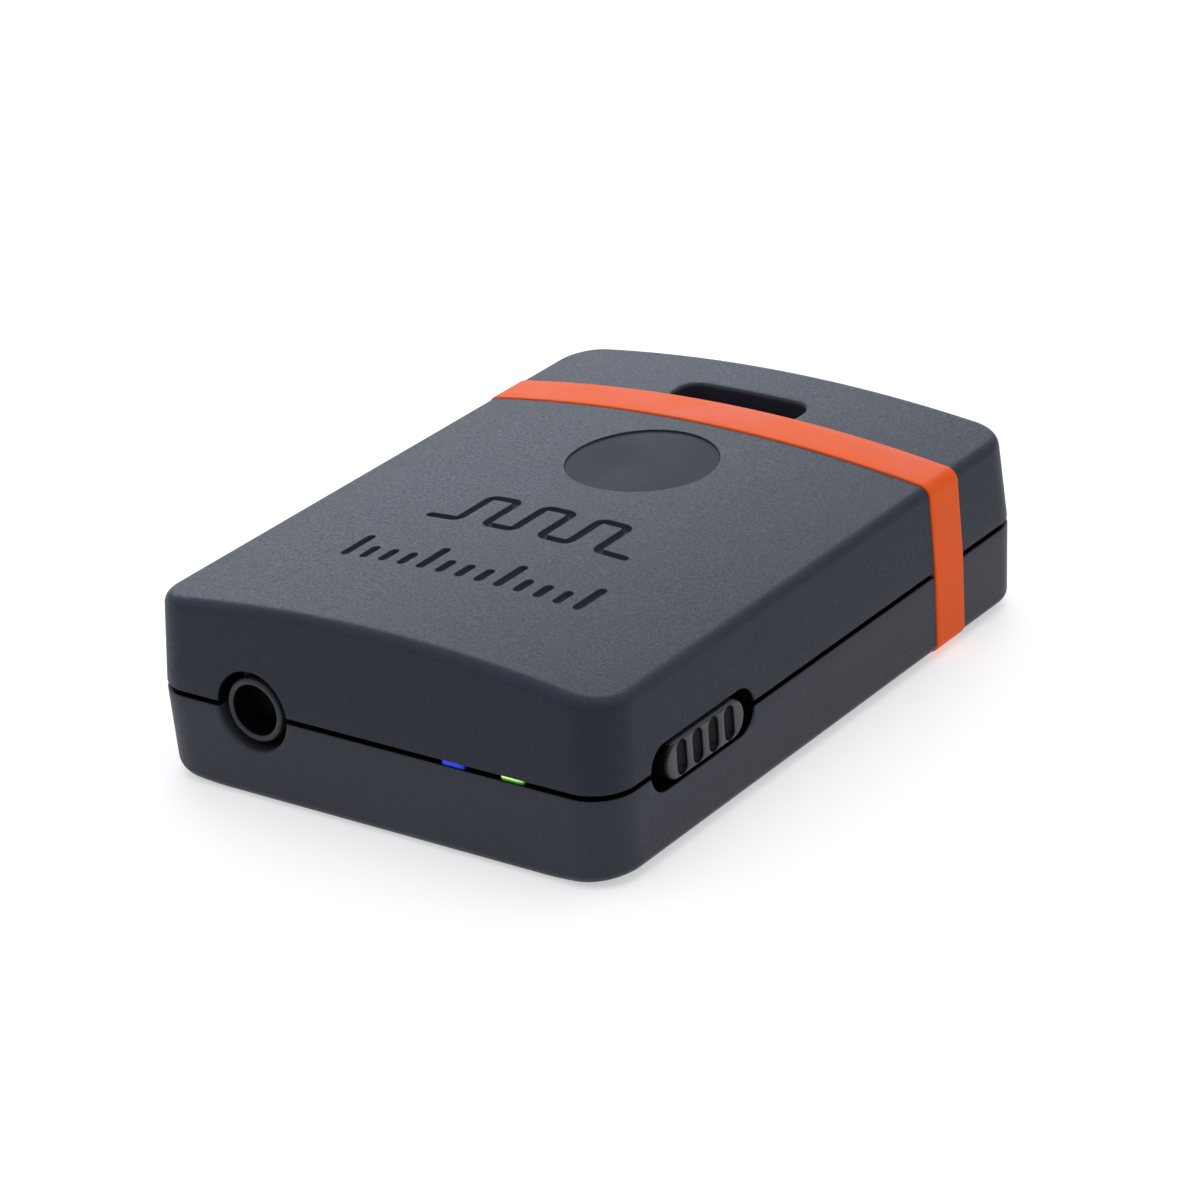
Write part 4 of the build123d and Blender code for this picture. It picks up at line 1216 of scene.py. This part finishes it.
SPECULAR = {
    "polished_plastic": 0.02, "knob_plastic": 0.32, "jack_plastic": 0.3, "shadow_plastic": 0.05,
    "knob_groove_shade": 0.16,
}
METALS = ("contact_metal", "foil", "steel", "screw_steel")
LIGHTS = {
    # colour away from the chip, colour over it, how much of the second shows
    "blue": ((0.008, 0.02, 0.36), (0.02, 0.045, 0.62), 0.8),
    "green": ((0.01, 0.1, 0.006), (0.5, 0.85, 0.22), 1.0),
}


def make_materials():
    """Materials by record slot."""
    made = {
        "upper_plastic": shell_plastic("upper_plastic", UPPER_COLOUR, 0.15),
        # lower shell: the same plastic with its colour painted lighter, a painted stand-in for floor
        # bounce light
        "lower_plastic_lit": shell_plastic("lower_plastic_lit", LOWER_LIT_COLOUR, 0.2),
        "band_silicone": band_silicone(),
    }
    for name, values in PLAIN.items():
        constants = {"Metallic": 1.0} if name in METALS else {}
        if name in SPECULAR:
            constants["Specular_IOR_Level"] = SPECULAR[name]
        made[name] = basic(name, *values, **constants)
    for colour, values in LIGHTS.items():
        made["light_" + colour] = light_material("light_" + colour, "light_pipe_" + colour, *values)
    return made


# ---- studio ----
CAMERA_AZIMUTH = math.radians(37.143)
CAMERA_ELEVATION = math.radians(24.497)
CAMERA_ROLL = math.radians(-4.348)
CAMERA_DISTANCE = 0.312388
CAMERA_TARGET = Vector((0.0, 0.0, 0.0075))
CAMERA_LENS = 135.70
CAMERA_SHIFT = (0.00337, -0.01376)
WORLD_RISE = (0.05, 0.6, 0.35, 1.0)       # height of a direction, then brightness
WORLD_SHADE = (0.35, 0.95, 1.0, 0.3)      # how far it faces the camera's side, then brightness


def make_camera():
    """Long lens seen from the front right, a little above, rolled a few degrees."""
    sine, cosine, flat = math.sin(CAMERA_AZIMUTH), math.cos(CAMERA_AZIMUTH), math.cos(CAMERA_ELEVATION)
    back = Vector((sine * flat, -cosine * flat, math.sin(CAMERA_ELEVATION)))
    right = Vector((cosine, sine, 0.0))
    up = back.cross(right)
    axis_x = right * math.cos(CAMERA_ROLL) + up * math.sin(CAMERA_ROLL)
    axis_y = up * math.cos(CAMERA_ROLL) - right * math.sin(CAMERA_ROLL)
    data = bpy.data.cameras.new("camera")
    data.lens = CAMERA_LENS
    data.sensor_width = 36.0
    data.shift_x, data.shift_y = CAMERA_SHIFT
    data.clip_start = 0.01
    camera = bpy.data.objects.new("camera", data)
    scene.collection.objects.link(camera)
    turn = Matrix((axis_x, axis_y, back)).transposed().to_4x4()
    camera.matrix_world = Matrix.Translation(CAMERA_TARGET + CAMERA_DISTANCE * back) @ turn
    scene.camera = camera


def make_softbox(name, azimuth, elevation, distance, size, radiance, colour):
    """Rectangular soft light aimed at the object; azimuth is measured from the rear, clockwise."""
    turn, rise = math.radians(azimuth), math.radians(elevation)
    flat = distance * math.cos(rise)
    place = Vector((flat * math.sin(turn), flat * math.cos(turn), distance * math.sin(rise)))
    data = bpy.data.lights.new(name, "AREA")
    data.shape = "RECTANGLE"
    data.size, data.size_y = size
    data.energy = radiance * math.pi * size[0] * size[1]
    data.color = colour
    light = bpy.data.objects.new(name, data)
    scene.collection.objects.link(light)
    light.location = place
    light.rotation_mode = "QUATERNION"
    light.rotation_quaternion = (-place).to_track_quat("-Z", "Y")


def make_world():
    """White surround, dimmer near the horizon and dimmest on the camera's side."""
    world = bpy.data.worlds.new("studio")
    scene.world = world
    world.use_nodes = True
    tree = world.node_tree
    background = tree.nodes["Background"]
    background.inputs["Color"].default_value = (0.98, 1.0, 1.04, 1.0)
    place = tree.nodes.new("ShaderNodeTexCoord").outputs["Generated"]
    split = tree.nodes.new("ShaderNodeSeparateXYZ")
    facing = tree.nodes.new("ShaderNodeVectorMath")
    facing.operation = "DOT_PRODUCT"
    facing.inputs[1].default_value = (math.sin(CAMERA_AZIMUTH), -math.cos(CAMERA_AZIMUTH), 0.0)
    tree.links.new(place, split.inputs["Vector"])
    tree.links.new(place, facing.inputs[0])
    product = tree.nodes.new("ShaderNodeMath")
    product.operation = "MULTIPLY"
    ramps = ((split.outputs["Z"], WORLD_RISE), (facing.outputs["Value"], WORLD_SHADE))
    for socket, (value, numbers) in zip(product.inputs, ramps):
        tree.links.new(smooth_range(tree, value, numbers), socket)
    tree.links.new(product.outputs["Value"], background.inputs["Strength"])


def make_floor():
    """Large pale floor, lit a little from within like a light table."""
    recipe = Recipe("floor_paper", Specular_IOR_Level=0.05, Roughness=0.9, Emission_Strength=0.5)
    cloud = recipe.noise(300.0, 2.0)
    recipe.colour(recipe.mix(recipe.ramp(cloud, 0.3, 0.7), (0.57, 0.57, 0.57), (0.59, 0.59, 0.59)))
    recipe.shader.inputs["Emission Color"].default_value = (1.0, 1.0, 1.0, 1.0)
    surface = Surface()
    size, cells = 3000.0, 12
    places = [(i / cells - 0.5) * size for i in range(cells + 1)]
    surface.sheet([surface.row([(x, y, 0.0) for y in places]) for x in places])
    floor = surface.piece("floor")
    floor.data.transform(Matrix.Scale(MM, 4))
    floor.data.materials.append(recipe.material)


def make_lights():
    make_world()
    make_softbox("key", -37.1, 21.5, 1.5, (1.25, 0.55), 4.0, (0.92, 1.0, 1.14))
    make_softbox("overhead", 20.0, 80.0, 1.2, (0.9, 0.9), 1.1, (1.0, 1.0, 1.0))


# ---- the whole object ----
def finish_cad_nodes(materials):
    """Gives each CAD node that stays in view the material of its record slot."""
    slots = {part["node"]: part["material_slot"] for part in frame["record"]["subparts"]}
    materials["shell_plastic"] = materials["upper_plastic"]
    for name, node in frame["nodes"].items():
        if node.hide_render:
            continue
        node.data.materials.clear()
        node.data.materials.append(materials[slots[name]])


def main():
    make_camera()
    make_lights()
    make_floor()
    materials = make_materials()
    shadow = materials["shadow_plastic"]
    make_top_cover(materials["upper_plastic"], materials["polished_plastic"], shadow)
    make_bottom_cover(materials["lower_plastic_lit"], shadow)
    make_band(materials["band_silicone"])
    make_jack(materials["jack_plastic"], shadow)
    make_knob(materials["knob_plastic"], materials["knob_groove_shade"])
    make_screws(materials["screw_steel"])
    make_usb(materials["steel"], materials["chip_black"], materials["contact_metal"])
    for colour in ("blue", "green"):
        make_light_pipe(colour, materials["light_" + colour])
    finish_cad_nodes(materials)


main()
